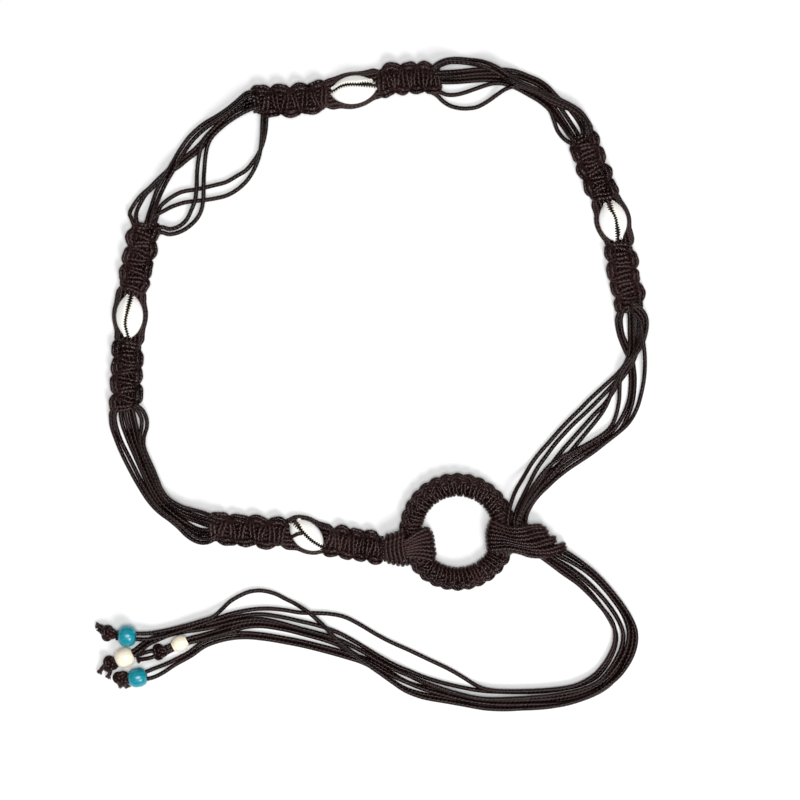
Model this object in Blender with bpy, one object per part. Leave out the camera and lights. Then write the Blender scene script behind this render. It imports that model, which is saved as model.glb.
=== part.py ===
"""Macrame rope belt laid out flat: four knotted bands with cowrie shells, loose cords between them, a
wrapped ring, a knot and a beaded tail. Metres, +Z up, resting on Z = 0."""

import math

import bpy
from mathutils import Vector

# Real sizes, in millimetres
CORD_DIAMETER = 2.0
PAIR_WIDTH = 3.8
PIECE_GAP = 0.3
BAND_WAIST_HALF_WIDTH = 6.3
BAND_BUMP = 2.1
BAND_HEIGHT = 5.4
BAND_RIB = 0.5
KNOTS_PER_HALF = 4
RINGS_PER_KNOT = 4
FILLER_STRIP_WIDTH = 7.6
FILLER_STRIP_THICKNESS = 1.9
SIDE_CORD_HEIGHT = 3.8
BURY = 2.2
SHELL_RIM_Z = 2.3
SHELL_WALL = 1.5
SHELL_LIP_DIP = 0.8
SLIT_WIDTH = 1.5
SLIT_SWING = 0.7
RING_OUTER_RADIUS = 29.0
RING_INNER_RADIUS = 17.3
RING_HEIGHT = 8.6
RING_SCALLOP = 0.5
RING_SCALLOPS = 22
BEAD_LENGTH = 9.2
BEAD_BORE_RADIUS = 2.8
END_HEIGHT = 2.4
LAY_GAP = 0.42
ROUND_CORD_SIDES = 6
PAIR_CORD_SIDES = 8

# One step of the layout grid that the hand-chosen routes below are written in, in millimetres
GRID_STEP = 0.5
GRID_MIDDLE = 400.0

# Columns: name, centreline, shell centre, shell length, shell width, shell height, turn in degrees, roll
BANDS = (
    ("left_band",
     ((146, 222), (143.9, 233.6), (139.7, 256.5), (134.5, 279.5), (131, 298), (130.4, 318), (129.5, 342),
      (128.2, 356), (127.3, 374), (127.1, 392), (126.2, 412)),
     (129.8, 315.7), 21.9, 14.0, 6.6, 0.0, 0.0),
    ("top_band",
     ((252, 101.5), (264, 101.6), (276, 101.6), (295, 100.8), (319, 97.2), (348, 90), (373, 84.4),
      (394, 79.8), (409, 78.9), (427, 78.4), (441, 78)),
     (353.7, 88.9), 23.2, 14.6, 6.6, 0.0, 0.0),
    ("right_band",
     ((581, 134), (586.2, 151), (593, 169), (600, 187), (604.5, 199), (610.5, 213), (615.5, 229),
      (619.3, 241), (621.2, 261), (622.9, 276), (627, 290), (630.3, 304), (631, 313)),
     (612.6, 221), 21.6, 14.2, 6.6, 0.0, 0.0),
    ("bottom_band",
     ((208, 527), (226, 529), (256.6, 531.3), (279.5, 533.6), (310, 535.2), (333, 540.3), (356, 544),
      (370, 546.3), (383.6, 548.3)),
     (307, 534.9), 20.0, 13.0, 6.6, -29.0, 0.0),
)

# Columns: name, route, width, true where the start leaves a band, true where the end meets one.
# Each group lies in this order, from the surface up.
LEFT_TOP_CORDS = (
    ("left_top_cord_1",
     ((132, 217.5), (133, 211.5), (136.5, 205.5), (143, 196.5), (151, 188), (161, 178.5), (171, 169.5),
      (178, 164), (185, 158), (194, 150.5), (202, 142.5), (212, 131), (222, 121.5), (235, 111.5),
      (250, 106.5)), PAIR_WIDTH),
    ("left_top_cord_2",
     ((158.5, 216), (160, 208.5), (167, 200.5), (175.5, 195), (184, 191.5), (199, 189), (216, 185),
      (226.7, 182), (237, 176), (246, 170), (253, 161), (259, 150), (263, 136), (264.5, 120.8)),
     CORD_DIAMETER),
    ("left_top_cord_3",
     ((154.5, 218), (163.5, 212), (173, 207), (184, 203.5), (195, 201.5), (205, 200.5), (216, 198.6),
      (226.7, 195.7), (237, 190), (246, 182), (252, 173), (256, 163), (258, 151), (258.5, 135),
      (258.5, 120.8)), CORD_DIAMETER),
    ("left_top_cord_4",
     ((161.5, 231.5), (169, 234), (178.7, 232), (188, 227), (197, 218.5), (202, 209), (204, 197),
      (204, 184.5), (204.5, 171), (206, 157), (208.5, 146), (213, 137), (222, 127), (234, 117.5),
      (250, 111.5)), CORD_DIAMETER),
    ("left_top_cord_5",
     ((161.5, 226.5), (168, 228.8), (175.5, 227), (183, 221), (189.5, 211), (193.5, 201), (196, 187),
      (197.3, 171), (200, 156), (203.5, 143), (210, 132.5), (220, 123.5), (233, 114), (250, 101.5)),
     CORD_DIAMETER),
    ("left_top_cord_6",
     ((146, 219.5), (150.5, 208), (156.5, 195), (163, 183), (169, 172), (175, 160), (181, 149),
      (188, 139.5), (196, 131.5), (206, 124.2), (216.5, 117.2), (227, 110), (236, 103), (242.5, 97.3),
      (249, 93.7)), PAIR_WIDTH),
)
TOP_RIGHT_CORDS = (
    ("top_right_cord_1",
     ((443, 84.5), (456, 83), (470, 80.5), (484, 77.5), (498, 77), (512, 80), (524, 85), (536, 92),
      (546, 99), (555, 107.5), (563, 117), (568.5, 126), (572.3, 134.5)), PAIR_WIDTH),
    ("top_right_cord_2",
     ((443, 76), (456, 74.6), (470, 72.6), (484, 71.2), (498, 71), (511, 73), (524, 78.5), (536, 85),
      (546, 92.5), (556, 101.5), (566, 111.5), (575, 122), (581.5, 131.5)), PAIR_WIDTH),
    ("top_right_cord_3",
     ((442.6, 93.6), (452, 95), (464, 93.2), (475, 89.3), (487, 85), (497, 83.5), (508, 86), (520, 91),
      (532, 97.5), (542, 104), (550, 112), (556, 122), (560.5, 132), (565.5, 139)), CORD_DIAMETER),
    ("top_right_cord_4",
     ((436.5, 97.5), (442, 102), (450, 106.3), (459.5, 108.4), (468.5, 108.6), (477.6, 107), (487, 102),
      (497, 95), (507, 89), (517, 86.5), (528, 89.5), (540, 96.5), (550, 103), (560, 107), (570, 109.5),
      (580, 113.5), (588, 120), (591.5, 128)), CORD_DIAMETER),
    ("top_right_cord_5",
     ((443, 66.5), (452, 61.5), (463, 60.3), (475, 62.2), (487, 66.2), (498, 70.5), (510, 77),
      (522, 84), (534, 90.5), (546, 96), (558, 101.5), (570, 107.5), (580, 114.5), (586, 122.5),
      (589, 129.5)), PAIR_WIDTH),
)
RIGHT_RING_CORDS = (
    ("right_ring_cord_1",
     ((620.3, 315), (618.5, 320), (620, 329), (623, 339), (627.5, 350), (631.5, 360), (634, 372),
      (635, 385), (634, 398), (630.5, 409), (625.5, 419), (619.5, 427.5), (612, 434), (603, 439.5),
      (592, 446), (580, 452), (572, 457), (563, 464), (553, 473), (544, 483), (536.5, 493), (531, 504),
      (529.5, 516), (529, 523)), PAIR_WIDTH),
    ("right_ring_cord_2",
     ((629, 316), (629.5, 330), (630.5, 345), (630, 356), (626, 366), (617, 376), (604, 388.5),
      (590, 401.5), (580, 411), (570, 421), (560, 431.5), (551, 442.5), (543, 452.5), (536, 462),
      (530, 472), (525.5, 483), (522.8, 495), (522.3, 508), (522.3, 519)), PAIR_WIDTH),
    ("right_ring_cord_3",
     ((636.8, 316), (637.8, 330), (637, 342), (633, 354), (627.5, 365), (620.5, 377), (613, 390),
      (604.5, 403), (596, 413.5), (587, 423), (578, 433), (568, 443), (559, 453), (551, 463),
      (543, 474), (536, 485), (530, 497), (526.5, 509), (525.5, 520.5)), PAIR_WIDTH),
    ("right_ring_cord_4",
     ((642.8, 314), (644.8, 321), (643.8, 331), (640, 342), (634, 353), (627.5, 363), (621.5, 372),
      (619, 382), (619, 394), (617.5, 407), (613.5, 420), (606, 430.5), (593, 439), (579, 447.5),
      (565, 455), (552, 463.5), (541, 475), (533, 487), (528, 499), (524.5, 511), (523, 520)),
     CORD_DIAMETER),
    ("right_ring_cord_5",
     ((641.3, 322.5), (642.3, 334), (644, 346), (645.5, 358), (645.5, 370), (644.5, 382), (642.5, 395),
      (638.5, 408), (632, 419), (624.5, 428.5), (615, 437), (604, 445), (592, 454), (580, 461),
      (568, 468.5), (556.5, 478), (547, 487), (540, 496), (535.5, 506), (533.5, 516), (533, 523.5)),
     CORD_DIAMETER),
)
BOTTOM_LEFT_CORDS = (
    ("bottom_left_cord_1",
     ((130.5, 414), (132.5, 426), (135.5, 440), (139.5, 453), (144.5, 466), (149.5, 478), (156, 490),
      (163, 501), (172, 511), (182, 519), (193, 524), (205.5, 525.5)), PAIR_WIDTH),
    ("bottom_left_cord_2",
     ((122, 414), (123.5, 426), (127, 439), (131.5, 452), (137, 464), (143, 476.5), (149.5, 489),
      (156.5, 501), (165, 511.5), (175, 521), (186, 528.5), (196, 532), (205, 533.8)), PAIR_WIDTH),
    ("bottom_left_cord_3",
     ((113.5, 412.5), (113.8, 424), (117.5, 437), (123, 450), (129, 463), (135.5, 475.5), (141.5, 488),
      (149, 500), (158, 511), (167, 518), (176, 526), (186, 535), (195, 539.8), (204.5, 541.8)), PAIR_WIDTH),
    ("bottom_left_cord_4",
     ((139.5, 413), (143.5, 420), (144, 430), (142.5, 441), (145, 453), (151, 465.5), (156, 478),
      (160.5, 491), (167, 501.5), (176, 508), (188, 511.5), (198, 514.5), (206.5, 516.5)), PAIR_WIDTH),
)
TAIL_CORDS = (
    ("tail_cord_1",
     ((558, 558), (573.5, 566.7), (588, 577.5), (601, 590.5), (613, 605), (622, 620), (626, 634),
      (624.5, 648), (619.5, 660), (611.5, 673), (600, 685), (585, 692.5), (568, 697), (545, 700.5),
      (525, 702.5), (500, 703.5), (480, 702), (460, 697.5), (440, 693.5), (420, 689.5), (405, 684.5),
      (390, 675.5), (378, 667.5), (363, 660), (345, 654.5), (325, 649), (305, 644), (285, 640),
      (265, 636.7), (245, 635), (225, 637), (205, 643.5), (190, 654), (177, 661), (163, 668.5),
      (150, 673.8), (137.5, 677), (125, 679.5)), PAIR_WIDTH),
    ("tail_cord_2",
     ((562.8, 554.5), (578.5, 563.5), (593, 574), (606, 587.5), (618, 603), (627, 617), (630.5, 630),
      (629.5, 644), (625, 657), (618, 669), (607.5, 681.5), (592, 691), (575, 697), (552, 700.5),
      (530, 701.5), (500, 702), (478, 700), (458, 696), (440, 691), (420, 684), (402, 676), (388, 669),
      (372, 660), (357, 651.5), (342, 644), (325, 638), (305, 632.5), (285, 627.5), (262, 624),
      (245, 625), (230, 629), (215, 633.5), (200, 637.5), (190, 640), (180, 644), (170, 648.5),
      (165, 651)), PAIR_WIDTH),
    ("tail_cord_3",
     ((552.9, 560.3), (568.5, 570.5), (582.5, 581.5), (595.5, 594.5), (607, 609), (615.5, 623), (619.5, 634),
      (618, 647), (613, 658.5), (606, 669.5), (597, 679), (583, 686), (567, 690), (548, 693),
      (525, 694.5), (500, 695), (480, 694), (462, 690.5), (445, 686), (425, 679.5), (408, 672.5),
      (395, 667), (380, 659), (365, 650), (350, 641.5), (335, 634.5), (318, 629), (300, 624.5),
      (280, 619.5), (262, 616.5), (245, 617.5), (230, 620.5), (215, 624.5), (200, 627.5), (185, 629.5),
      (171, 632.5), (159, 637), (149, 641.5), (141, 647.5), (134, 652.6), (124.5, 657.5), (116, 661.5)),
     PAIR_WIDTH),
    ("tail_cord_4",
     ((547.6, 561.6), (563, 573.2), (577, 583), (589.5, 594.5), (601, 607), (610.5, 619), (614.5, 630),
      (614, 643), (609.5, 654.5), (602.5, 665.5), (593.5, 675), (580, 683), (565, 687.3), (545, 689.5),
      (525, 690.5), (500, 690.5), (485, 688.5), (475, 684.5), (462, 676.5), (448, 668.5), (430, 660),
      (410, 650.5), (390, 641.5), (375, 633.5), (360, 624.5), (345, 617), (330, 613.8), (315, 613),
      (300, 612.5), (285, 610), (270, 608.5), (255, 609), (240, 611.5), (228, 614.5), (215, 619),
      (200, 624.5), (183, 630), (165, 635.5), (150, 638.6), (138, 638.4), (127, 638), (116.5, 637.5)),
     CORD_DIAMETER),
    ("tail_cord_5",
     ((568, 552.8), (582, 562.5), (597, 575.5), (610, 589.5), (622, 604.5), (631, 619), (635.5, 631),
      (635.5, 643), (632, 655), (626, 666), (617, 677), (605, 686), (593, 693.5), (580, 699),
      (564, 703.5), (545, 706.5), (525, 708), (505, 709), (485, 708), (465, 704.5), (445, 701),
      (430, 698.5), (418, 695.5), (405, 690), (393, 682), (380, 672.5), (368, 664), (356, 655),
      (344, 645), (334, 636), (326, 627.5), (318, 620), (308, 611.5), (296, 604), (285, 598.5),
      (275, 593.5), (262, 590.5), (250, 591.5), (240, 595.5), (230, 601.5), (222, 609), (213, 616.5),
      (201, 620.5), (186, 625), (168, 629.5), (151, 632.6), (138, 632.8), (127, 633), (116.5, 632.5)),
     CORD_DIAMETER),
)

# Columns: name, centre, a point that the bore runs towards, outer radius, cord that it sits on
BEADS = (
    ("turquoise_bead_1", (127, 635.5), (117, 635.2), 5.3),
    ("natural_bead_1", (124.5, 657.5), (116, 661.5), 4.9),
    ("turquoise_bead_2", (137.5, 677), (125, 679.5), 4.9),
    ("natural_bead_2", (180, 644), (170, 648.5), 4.7),
)

# Columns: name, start, a point that it runs towards, length of the knot and of its frayed end
END_KNOTS = (
    ("end_knot_1", (115, 634.8), (97, 629), 7.2, 4.0),
    ("end_knot_2", (113.6, 662.6), (99, 672.5), 5.8, 5.2),
    ("end_knot_3", (121.6, 680.2), (112, 687), 6.2, 3.4),
    ("end_knot_4", (163.3, 652), (143, 657), 5.4, 5.0),
)

RING_CENTRE = (457.5, 531.5)

# Half-width share across and height share of each corner of a band's section
BAND_SECTION = ((-0.6, 0.0), (0.6, 0.0), (0.98, 0.3), (0.96, 0.68), (0.55, 0.96), (-0.55, 0.96),
                (-0.96, 0.68), (-0.98, 0.3))
# Share of the ring's half-width outward and of its height
RING_SECTION = ((-0.5, 0.0), (0.6, 0.0), (0.93, 0.17), (1.0, 0.46), (0.82, 0.78), (0.36, 0.9), (0.0, 1.0),
                (-0.6, 0.9), (-0.94, 0.62), (-0.94, 0.28))

MM = 0.001


def layout(point):
    """Grid place as a flat vector in millimetres."""
    return Vector(((point[0] - GRID_MIDDLE) * GRID_STEP, (GRID_MIDDLE - point[1]) * GRID_STEP, 0.0))


def smooth_route(points, spacing):
    """Evenly spaced points on a smooth curve through the route's own points."""
    known = [2 * points[0] - points[1], *points, 2 * points[-1] - points[-2]]
    fine = []
    for i in range(1, len(known) - 2):
        p0, p1, p2, p3 = known[i - 1:i + 3]
        steps = max(4, int((p2 - p1).length / 0.25))
        for j in range(steps):
            t = j / steps
            fine.append(0.5 * (2 * p1 + (p2 - p0) * t + (2 * p0 - 5 * p1 + 4 * p2 - p3) * t * t
                               + (3 * p1 - p0 - 3 * p2 + p3) * t ** 3))
    fine.append(points[-1].copy())
    run = [0.0]
    for a, b in zip(fine, fine[1:]):
        run.append(run[-1] + (b - a).length)
    count = max(2, round(run[-1] / spacing))
    spaced = []
    k = 0
    for i in range(count + 1):
        want = run[-1] * i / count
        while k < len(run) - 2 and run[k + 1] < want:
            k += 1
        part = (want - run[k]) / max(run[k + 1] - run[k], 1e-9)
        spaced.append(fine[k].lerp(fine[k + 1], min(max(part, 0.0), 1.0)))
    return spaced


def directions(points):
    """Unit direction of travel at each point."""
    last = len(points) - 1
    return [(points[min(i + 1, last)] - points[max(i - 1, 0)]).normalized() for i in range(last + 1)]


def add_mesh(name, corners, faces, finish, smooth=True):
    """One mesh object, given in millimetres."""
    mesh = bpy.data.meshes.new(name)
    mesh.from_pydata([tuple(c * MM) for c in corners], [], faces)
    for face in mesh.polygons:
        face.use_smooth = smooth
    mesh.materials.append(finish)
    made = bpy.data.objects.new(name, mesh)
    bpy.context.scene.collection.objects.link(made)
    return made


def loft(name, rings, finish, closed=False):
    """Closed body through a list of rings of corners; the two ends are capped unless it closes on itself."""
    sides = len(rings[0])
    corners = [c for ring in rings for c in ring]
    faces = []
    spans = len(rings) if closed else len(rings) - 1
    for i in range(spans):
        here = i * sides
        there = ((i + 1) % len(rings)) * sides
        for j in range(sides):
            k = (j + 1) % sides
            faces.append((here + j, here + k, there + k, there + j))
    if not closed:
        faces.append(tuple(reversed(range(sides))))
        faces.append(tuple((len(rings) - 1) * sides + j for j in range(sides)))
    made = add_mesh(name, corners, faces, finish)
    face_outward(made)
    return made


def face_outward(made):
    """Turns the faces round where the body's signed volume is negative."""
    mesh = made.data
    mesh.calc_loop_triangles()
    volume = 0.0
    for tri in mesh.loop_triangles:
        a, b, c = (mesh.vertices[v].co for v in tri.vertices)
        volume += a.dot(b.cross(c))
    if volume < 0.0:
        mesh.flip_normals()


def sweep(name, points, width, height, sides, finish, swell=None):
    """Solid cord of oval section along a route."""
    rings = []
    along = directions(points)
    for i, (point, ahead) in enumerate(zip(points, along)):
        side = Vector((-ahead.y, ahead.x, 0.0)).normalized()
        up = side.cross(ahead) * -1.0
        share = 1.0 if swell is None else swell[i]
        ring = []
        for j in range(sides):
            turn = 2 * math.pi * (j + 0.5) / sides
            ring.append(point + side * (0.5 * width * share * math.cos(turn))
                        + up * (0.5 * height * share * math.sin(turn)))
        rings.append(ring)
    return loft(name, rings, finish)


def finish_of(name, colour, roughness):
    """Plain surface with its own colour."""
    made = bpy.data.materials.new(name)
    made.use_nodes = True
    surface = made.node_tree.nodes["Principled BSDF"]
    surface.inputs["Base Color"].default_value = (*colour, 1.0)
    surface.inputs["Roughness"].default_value = roughness
    return made


def combine(base, others, operation):
    """Joins or cuts the base with each other body, then removes those bodies."""
    for other in others:
        step = base.modifiers.new(operation.lower(), "BOOLEAN")
        step.operation = operation
        step.solver = "EXACT"
        step.object = other
        bpy.context.view_layer.update()
        graph = bpy.context.evaluated_depsgraph_get()
        result = bpy.data.meshes.new_from_object(base.evaluated_get(graph))
        base.modifiers.clear()
        base.data = result
        bpy.data.objects.remove(other)
    return base


def rest_heights(cords, base_height):
    """Heights of each cord's points so that it passes over the ones listed before it."""
    done = []
    for points, width, least in cords:
        need = [max(base_height, floor) for floor in least]
        for i, point in enumerate(points):
            for other, other_width, other_heights in done:
                reach = 0.5 * (width + other_width) + PIECE_GAP
                for q, z in zip(other, other_heights):
                    dx = point.x - q.x
                    dy = point.y - q.y
                    apart = dx * dx + dy * dy
                    if apart < reach * reach:
                        lift = (CORD_DIAMETER + LAY_GAP) * math.sqrt(1.0 - apart / (reach * reach))
                        need[i] = max(need[i], z + lift)
        done.append((points, width, eased(points, need)))
    return [heights for _, _, heights in done]


def eased(points, need):
    """Heights never under the need, with gentle ramps."""
    ramp = 0.38
    window = 2.0
    run = [0.0]
    for a, b in zip(points, points[1:]):
        run.append(run[-1] + (b - a).length)
    count = len(points)
    raised = [max(need[j] - ramp * max(0.0, abs(run[i] - run[j]) - 2 * window) for j in range(count))
              for i in range(count)]
    mild = []
    for i in range(count):
        near = [raised[j] for j in range(count) if abs(run[i] - run[j]) <= window]
        mild.append(sum(near) / len(near))
    return [max(a, b) for a, b in zip(mild, need)]


def cord_group(group, finish, spacing, base=None, lifts=None):
    """All the loose cords of one group, laid over each other in their order."""
    fine = []
    for name, route, width in group:
        points = smooth_route([layout(p) for p in route], 1.0)
        run = 0.0
        total = sum((b - a).length for a, b in zip(points, points[1:]))
        least = []
        for i, point in enumerate(points):
            if i:
                run += (point - points[i - 1]).length
            ends = base if base is not None else (END_HEIGHT, END_HEIGHT)
            start = ends[0] - 0.38 * max(0.0, run - 1.0)
            stop = ends[1] - 0.38 * max(0.0, total - run - 1.0)
            least.append(max(start, stop, lifts(name, point) if lifts else 0.0))
        fine.append((points, width, least))
    heights = rest_heights(fine, 0.5 * CORD_DIAMETER + 0.02)
    for (name, _, width), (points, _, _), high in zip(group, fine, heights):
        count = len(points) - 1
        keep = max(4, round(count * 1.0 / spacing))
        picked = [round(i * count / keep) for i in range(keep + 1)]
        route = [points[i] + Vector((0.0, 0.0, high[i])) for i in picked]
        sides = PAIR_CORD_SIDES if width > CORD_DIAMETER else ROUND_CORD_SIDES
        sweep(name, route, width, CORD_DIAMETER, sides, finish)


def nearest(points, target):
    return min(range(len(points)), key=lambda i: (points[i] - target).length)


def knotted_half(name, points, finish, phase):
    """One run of square knots: side bumps alternate left and right, with a rib across at each bar."""
    along = directions(points)
    rings = []
    for i, (point, ahead) in enumerate(zip(points, along)):
        turn = 2 * math.pi * (i / RINGS_PER_KNOT) + phase
        left = BAND_WAIST_HALF_WIDTH + BAND_BUMP * 0.5 * (1 + math.cos(turn))
        right = BAND_WAIST_HALF_WIDTH + BAND_BUMP * 0.5 * (1 - math.cos(turn))
        height = BAND_HEIGHT + BAND_RIB * abs(math.cos(turn))
        side = Vector((-ahead.y, ahead.x, 0.0))
        if i in (0, len(points) - 1):
            height -= 0.8
            left = min(left, BAND_WAIST_HALF_WIDTH + 0.6)
            right = min(right, BAND_WAIST_HALF_WIDTH + 0.6)
        ring = []
        for across, up in BAND_SECTION:
            reach = left if across > 0 else right
            ring.append(point + side * (across * reach) + Vector((0.0, 0.0, up * height)))
        rings.append(ring)
    return loft(name, rings, finish)


def make_band(row, finish):
    """Two knotted halves, the cords bowed round the shell and the flat fillers under it, as one body."""
    name, route, shell_at, length, width, _, turn, _ = row
    line = smooth_route([layout(p) for p in route], 0.5)
    middle = nearest(line, layout(shell_at))
    share = abs(math.cos(math.radians(turn)))
    lean = abs(math.sin(math.radians(turn)))
    room = math.hypot(0.5 * length * share, 0.5 * width * lean) + 0.9
    wide = math.hypot(0.5 * length * lean, 0.5 * width * share)
    spread = wide + PIECE_GAP + 0.75 * CORD_DIAMETER
    steps = round(room / 0.5)
    first = line[:middle - steps + 1]
    second = line[middle + steps:]
    pieces = []
    for half, phase in ((first, 0.0), (second, math.pi)):
        count = KNOTS_PER_HALF * RINGS_PER_KNOT
        picked = [half[round(i * (len(half) - 1) / count)] for i in range(count + 1)]
        pieces.append(knotted_half(name, picked, finish, phase))
    inner = line[middle - steps - round(BURY / 0.5):middle + steps + round(BURY / 0.5) + 1]
    ahead = directions(inner)
    strip = []
    for i in range(0, 5):
        k = round(i * (len(inner) - 1) / 4)
        side = Vector((-ahead[k].y, ahead[k].x, 0.0)) * (0.5 * FILLER_STRIP_WIDTH)
        low = Vector((0.0, 0.0, 0.12))
        high = Vector((0.0, 0.0, FILLER_STRIP_THICKNESS))
        strip.append([inner[k] - side + low, inner[k] + side + low, inner[k] + side + high,
                      inner[k] - side + high])
    pieces.append(loft(name, strip, finish))
    for way in (1.0, -1.0):
        bowed = []
        for i in range(0, 9):
            k = round(i * (len(inner) - 1) / 8)
            rise = math.sin(math.pi * i / 8) ** 0.55
            out = (BAND_WAIST_HALF_WIDTH - 1.4) * (1 - rise) + spread * rise
            side = Vector((-ahead[k].y, ahead[k].x, 0.0))
            bowed.append(inner[k] + side * (way * out) + Vector((0.0, 0.0, 2.55)))
        pieces.append(sweep(name, bowed, CORD_DIAMETER, SIDE_CORD_HEIGHT, ROUND_CORD_SIDES, finish))
    band = combine(pieces[0], pieces[1:], "UNION")
    band.name = name
    return band


def shell_height(across, along, height):
    """Height of the shell's back over its rim, with the dip that holds the slit."""
    reach = min(1.0, math.hypot(across, along))
    dome = height * math.sqrt(max(0.0, 1.0 - reach ** 2.4))
    return dome - SHELL_LIP_DIP * math.exp(-(across / 0.22) ** 2) * (1.0 - reach)


def make_shell(name, row, finish):
    """Cowrie with its back cut away: a domed wall, open below, with a long curved slit on top."""
    _, route, shell_at, length, width, height, turn, _ = row
    line = smooth_route([layout(p) for p in route], 0.5)
    at = layout(shell_at)
    ahead = directions(line)[nearest(line, at)]
    angle = math.atan2(ahead.y, ahead.x) + math.radians(turn)
    axis = Vector((math.cos(angle), math.sin(angle), 0.0))
    side = Vector((-axis.y, axis.x, 0.0))

    def surface(half_long, half_wide, high, lift, spread, turns, low):
        rings = []
        for share in spread:
            ring = []
            for j in range(turns):
                a = 2 * math.pi * j / turns
                u = share * math.cos(a)
                v = share * math.sin(a)
                z = lift + shell_height(v, u, high) if share < 1.0 else low
                ring.append(at + axis * (u * half_long) + side * (v * half_wide) + Vector((0, 0, z)))
            rings.append(ring)
        return rings

    turns = 14
    outer = surface(0.5 * length, 0.5 * width, height, SHELL_RIM_Z, (1.0, 0.96, 0.75, 0.4), turns,
                    SHELL_RIM_Z)
    inner = surface(0.5 * length - SHELL_WALL, 0.5 * width - SHELL_WALL, height - SHELL_WALL,
                    SHELL_RIM_Z, (1.0, 0.7), turns, SHELL_RIM_Z)
    rings = list(reversed(inner)) + outer
    corners = [c for ring in rings for c in ring]
    faces = []
    for i in range(len(rings) - 1):
        for j in range(turns):
            k = (j + 1) % turns
            faces.append((i * turns + j, i * turns + k, (i + 1) * turns + k, (i + 1) * turns + j))
    top_in = len(corners)
    corners.append(at + Vector((0, 0, SHELL_RIM_Z + shell_height(0, 0, height - SHELL_WALL))))
    top_out = len(corners)
    corners.append(at + Vector((0, 0, SHELL_RIM_Z + shell_height(0, 0, height))))
    last = (len(rings) - 1) * turns
    for j in range(turns):
        k = (j + 1) % turns
        faces.append((k, j, top_in))
        faces.append((last + j, last + k, top_out))
    shell = add_mesh(name, corners, faces, finish)
    face_outward(shell)
    cut = []
    for i in range(7):
        t = i / 3 - 1.0
        middle = at + axis * (t * 0.40 * length) + side * (SLIT_SWING * math.sin(math.pi * t))
        half = 0.5 * SLIT_WIDTH * (1.0 - 0.45 * abs(t))
        cut.append([middle - side * half + Vector((0, 0, SHELL_RIM_Z + 0.9)),
                    middle + side * half + Vector((0, 0, SHELL_RIM_Z + 0.9)),
                    middle + side * half + Vector((0, 0, SHELL_RIM_Z + height + 2.0)),
                    middle - side * half + Vector((0, 0, SHELL_RIM_Z + height + 2.0))])
    cutter = loft("slit_cutter", cut, finish)
    cutter.hide_render = True
    cutter.display_type = "WIRE"
    return combine(shell, [cutter], "DIFFERENCE")


def ring_profile(extra):
    """Corners of the ring's section, moved out by the given amount, as radius and height."""
    middle_radius = 0.5 * (RING_OUTER_RADIUS + RING_INNER_RADIUS)
    half = 0.5 * (RING_OUTER_RADIUS - RING_INNER_RADIUS)
    heart = Vector((0.0, 0.48 * RING_HEIGHT))
    found = []
    for out, up in RING_SECTION:
        corner = Vector((out * half, up * RING_HEIGHT))
        away = corner - heart
        corner = corner + away.normalized() * extra
        found.append(Vector((middle_radius + corner.x, max(corner.y, 0.0))))
    return found


def make_ring(finish):
    """Wrapped ring with a looped edge round its rim and a flat seat."""
    centre = layout(RING_CENTRE)
    profile = ring_profile(0.0)
    rings = []
    count = 2 * RING_SCALLOPS
    for i in range(count):
        turn = 2 * math.pi * i / count
        out = Vector((math.cos(turn), math.sin(turn), 0.0))
        ring = []
        for corner, (across, _) in zip(profile, RING_SECTION):
            notch = RING_SCALLOP if i % 2 and across > 0.65 else 0.0
            ring.append(centre + out * (corner.x - notch) + Vector((0.0, 0.0, corner.y)))
        rings.append(ring)
    return loft("ring", rings, finish, closed=True)


def ring_saddle(name, middle_angle, half_angle, first, last, finish):
    """Cords laid side by side over one limb of the ring, from its outer side to its inner side."""
    centre = layout(RING_CENTRE)
    near = ring_profile(PIECE_GAP + 0.15)
    far = ring_profile(PIECE_GAP + 0.15 + CORD_DIAMETER)
    chain = [k % len(near) for k in range(first, last + 1)]
    steps = 5
    rings = []
    for i in range(steps + 1):
        t = 2.0 * i / steps - 1.0
        turn = math.radians(middle_angle + half_angle * t)
        out = Vector((math.cos(turn), math.sin(turn), 0.0))
        ring = [centre + out * near[k].x + Vector((0.0, 0.0, max(near[k].y, 0.6))) for k in chain]
        ring += [centre + out * far[k].x + Vector((0.0, 0.0, max(far[k].y, 0.35)))
                 for k in reversed(chain)]
        rings.append(ring)
    return loft(name, rings, finish)


def lump(name, points, half_widths, heights, lows, finish, sides=12):
    """Knot body: a rounded loft with its own half-width, height and low side at each point."""
    rings = []
    for point, ahead, half, high, low in zip(points, directions(points), half_widths, heights, lows):
        side = Vector((-ahead.y, ahead.x, 0.0)).normalized()
        ring = []
        for j in range(sides):
            turn = 2 * math.pi * (j + 0.5) / sides
            z = low + 0.5 * high * (1 + math.sin(turn) / math.sin(math.pi * (0.5 - 1.0 / sides) + math.pi / sides))
            ring.append(point + side * (half * math.cos(turn)) + Vector((0.0, 0.0, z)))
        rings.append(ring)
    return loft(name, rings, finish)


def make_bead(name, centre, towards, radius, finish):
    """Drilled bead lying on its side: a rounded barrel with a bore along the cords."""
    at = layout(centre) + Vector((0.0, 0.0, radius + 0.05))
    axis = (layout(towards) - layout(centre)).normalized()
    side = Vector((-axis.y, axis.x, 0.0))
    up = Vector((0.0, 0.0, 1.0))
    half = 0.5 * BEAD_LENGTH
    profile = [(-half, BEAD_BORE_RADIUS), (-half, 0.62 * radius), (-0.74 * half, 0.86 * radius),
               (-0.3 * half, radius), (0.3 * half, radius), (0.74 * half, 0.86 * radius),
               (half, 0.62 * radius), (half, BEAD_BORE_RADIUS)]
    sides = 12
    rings = []
    for along, reach in profile:
        rings.append([at + axis * along + side * (reach * math.cos(2 * math.pi * j / sides))
                      + up * (reach * math.sin(2 * math.pi * j / sides)) for j in range(sides)])
    return loft(name, rings, finish, closed=True)


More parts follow.
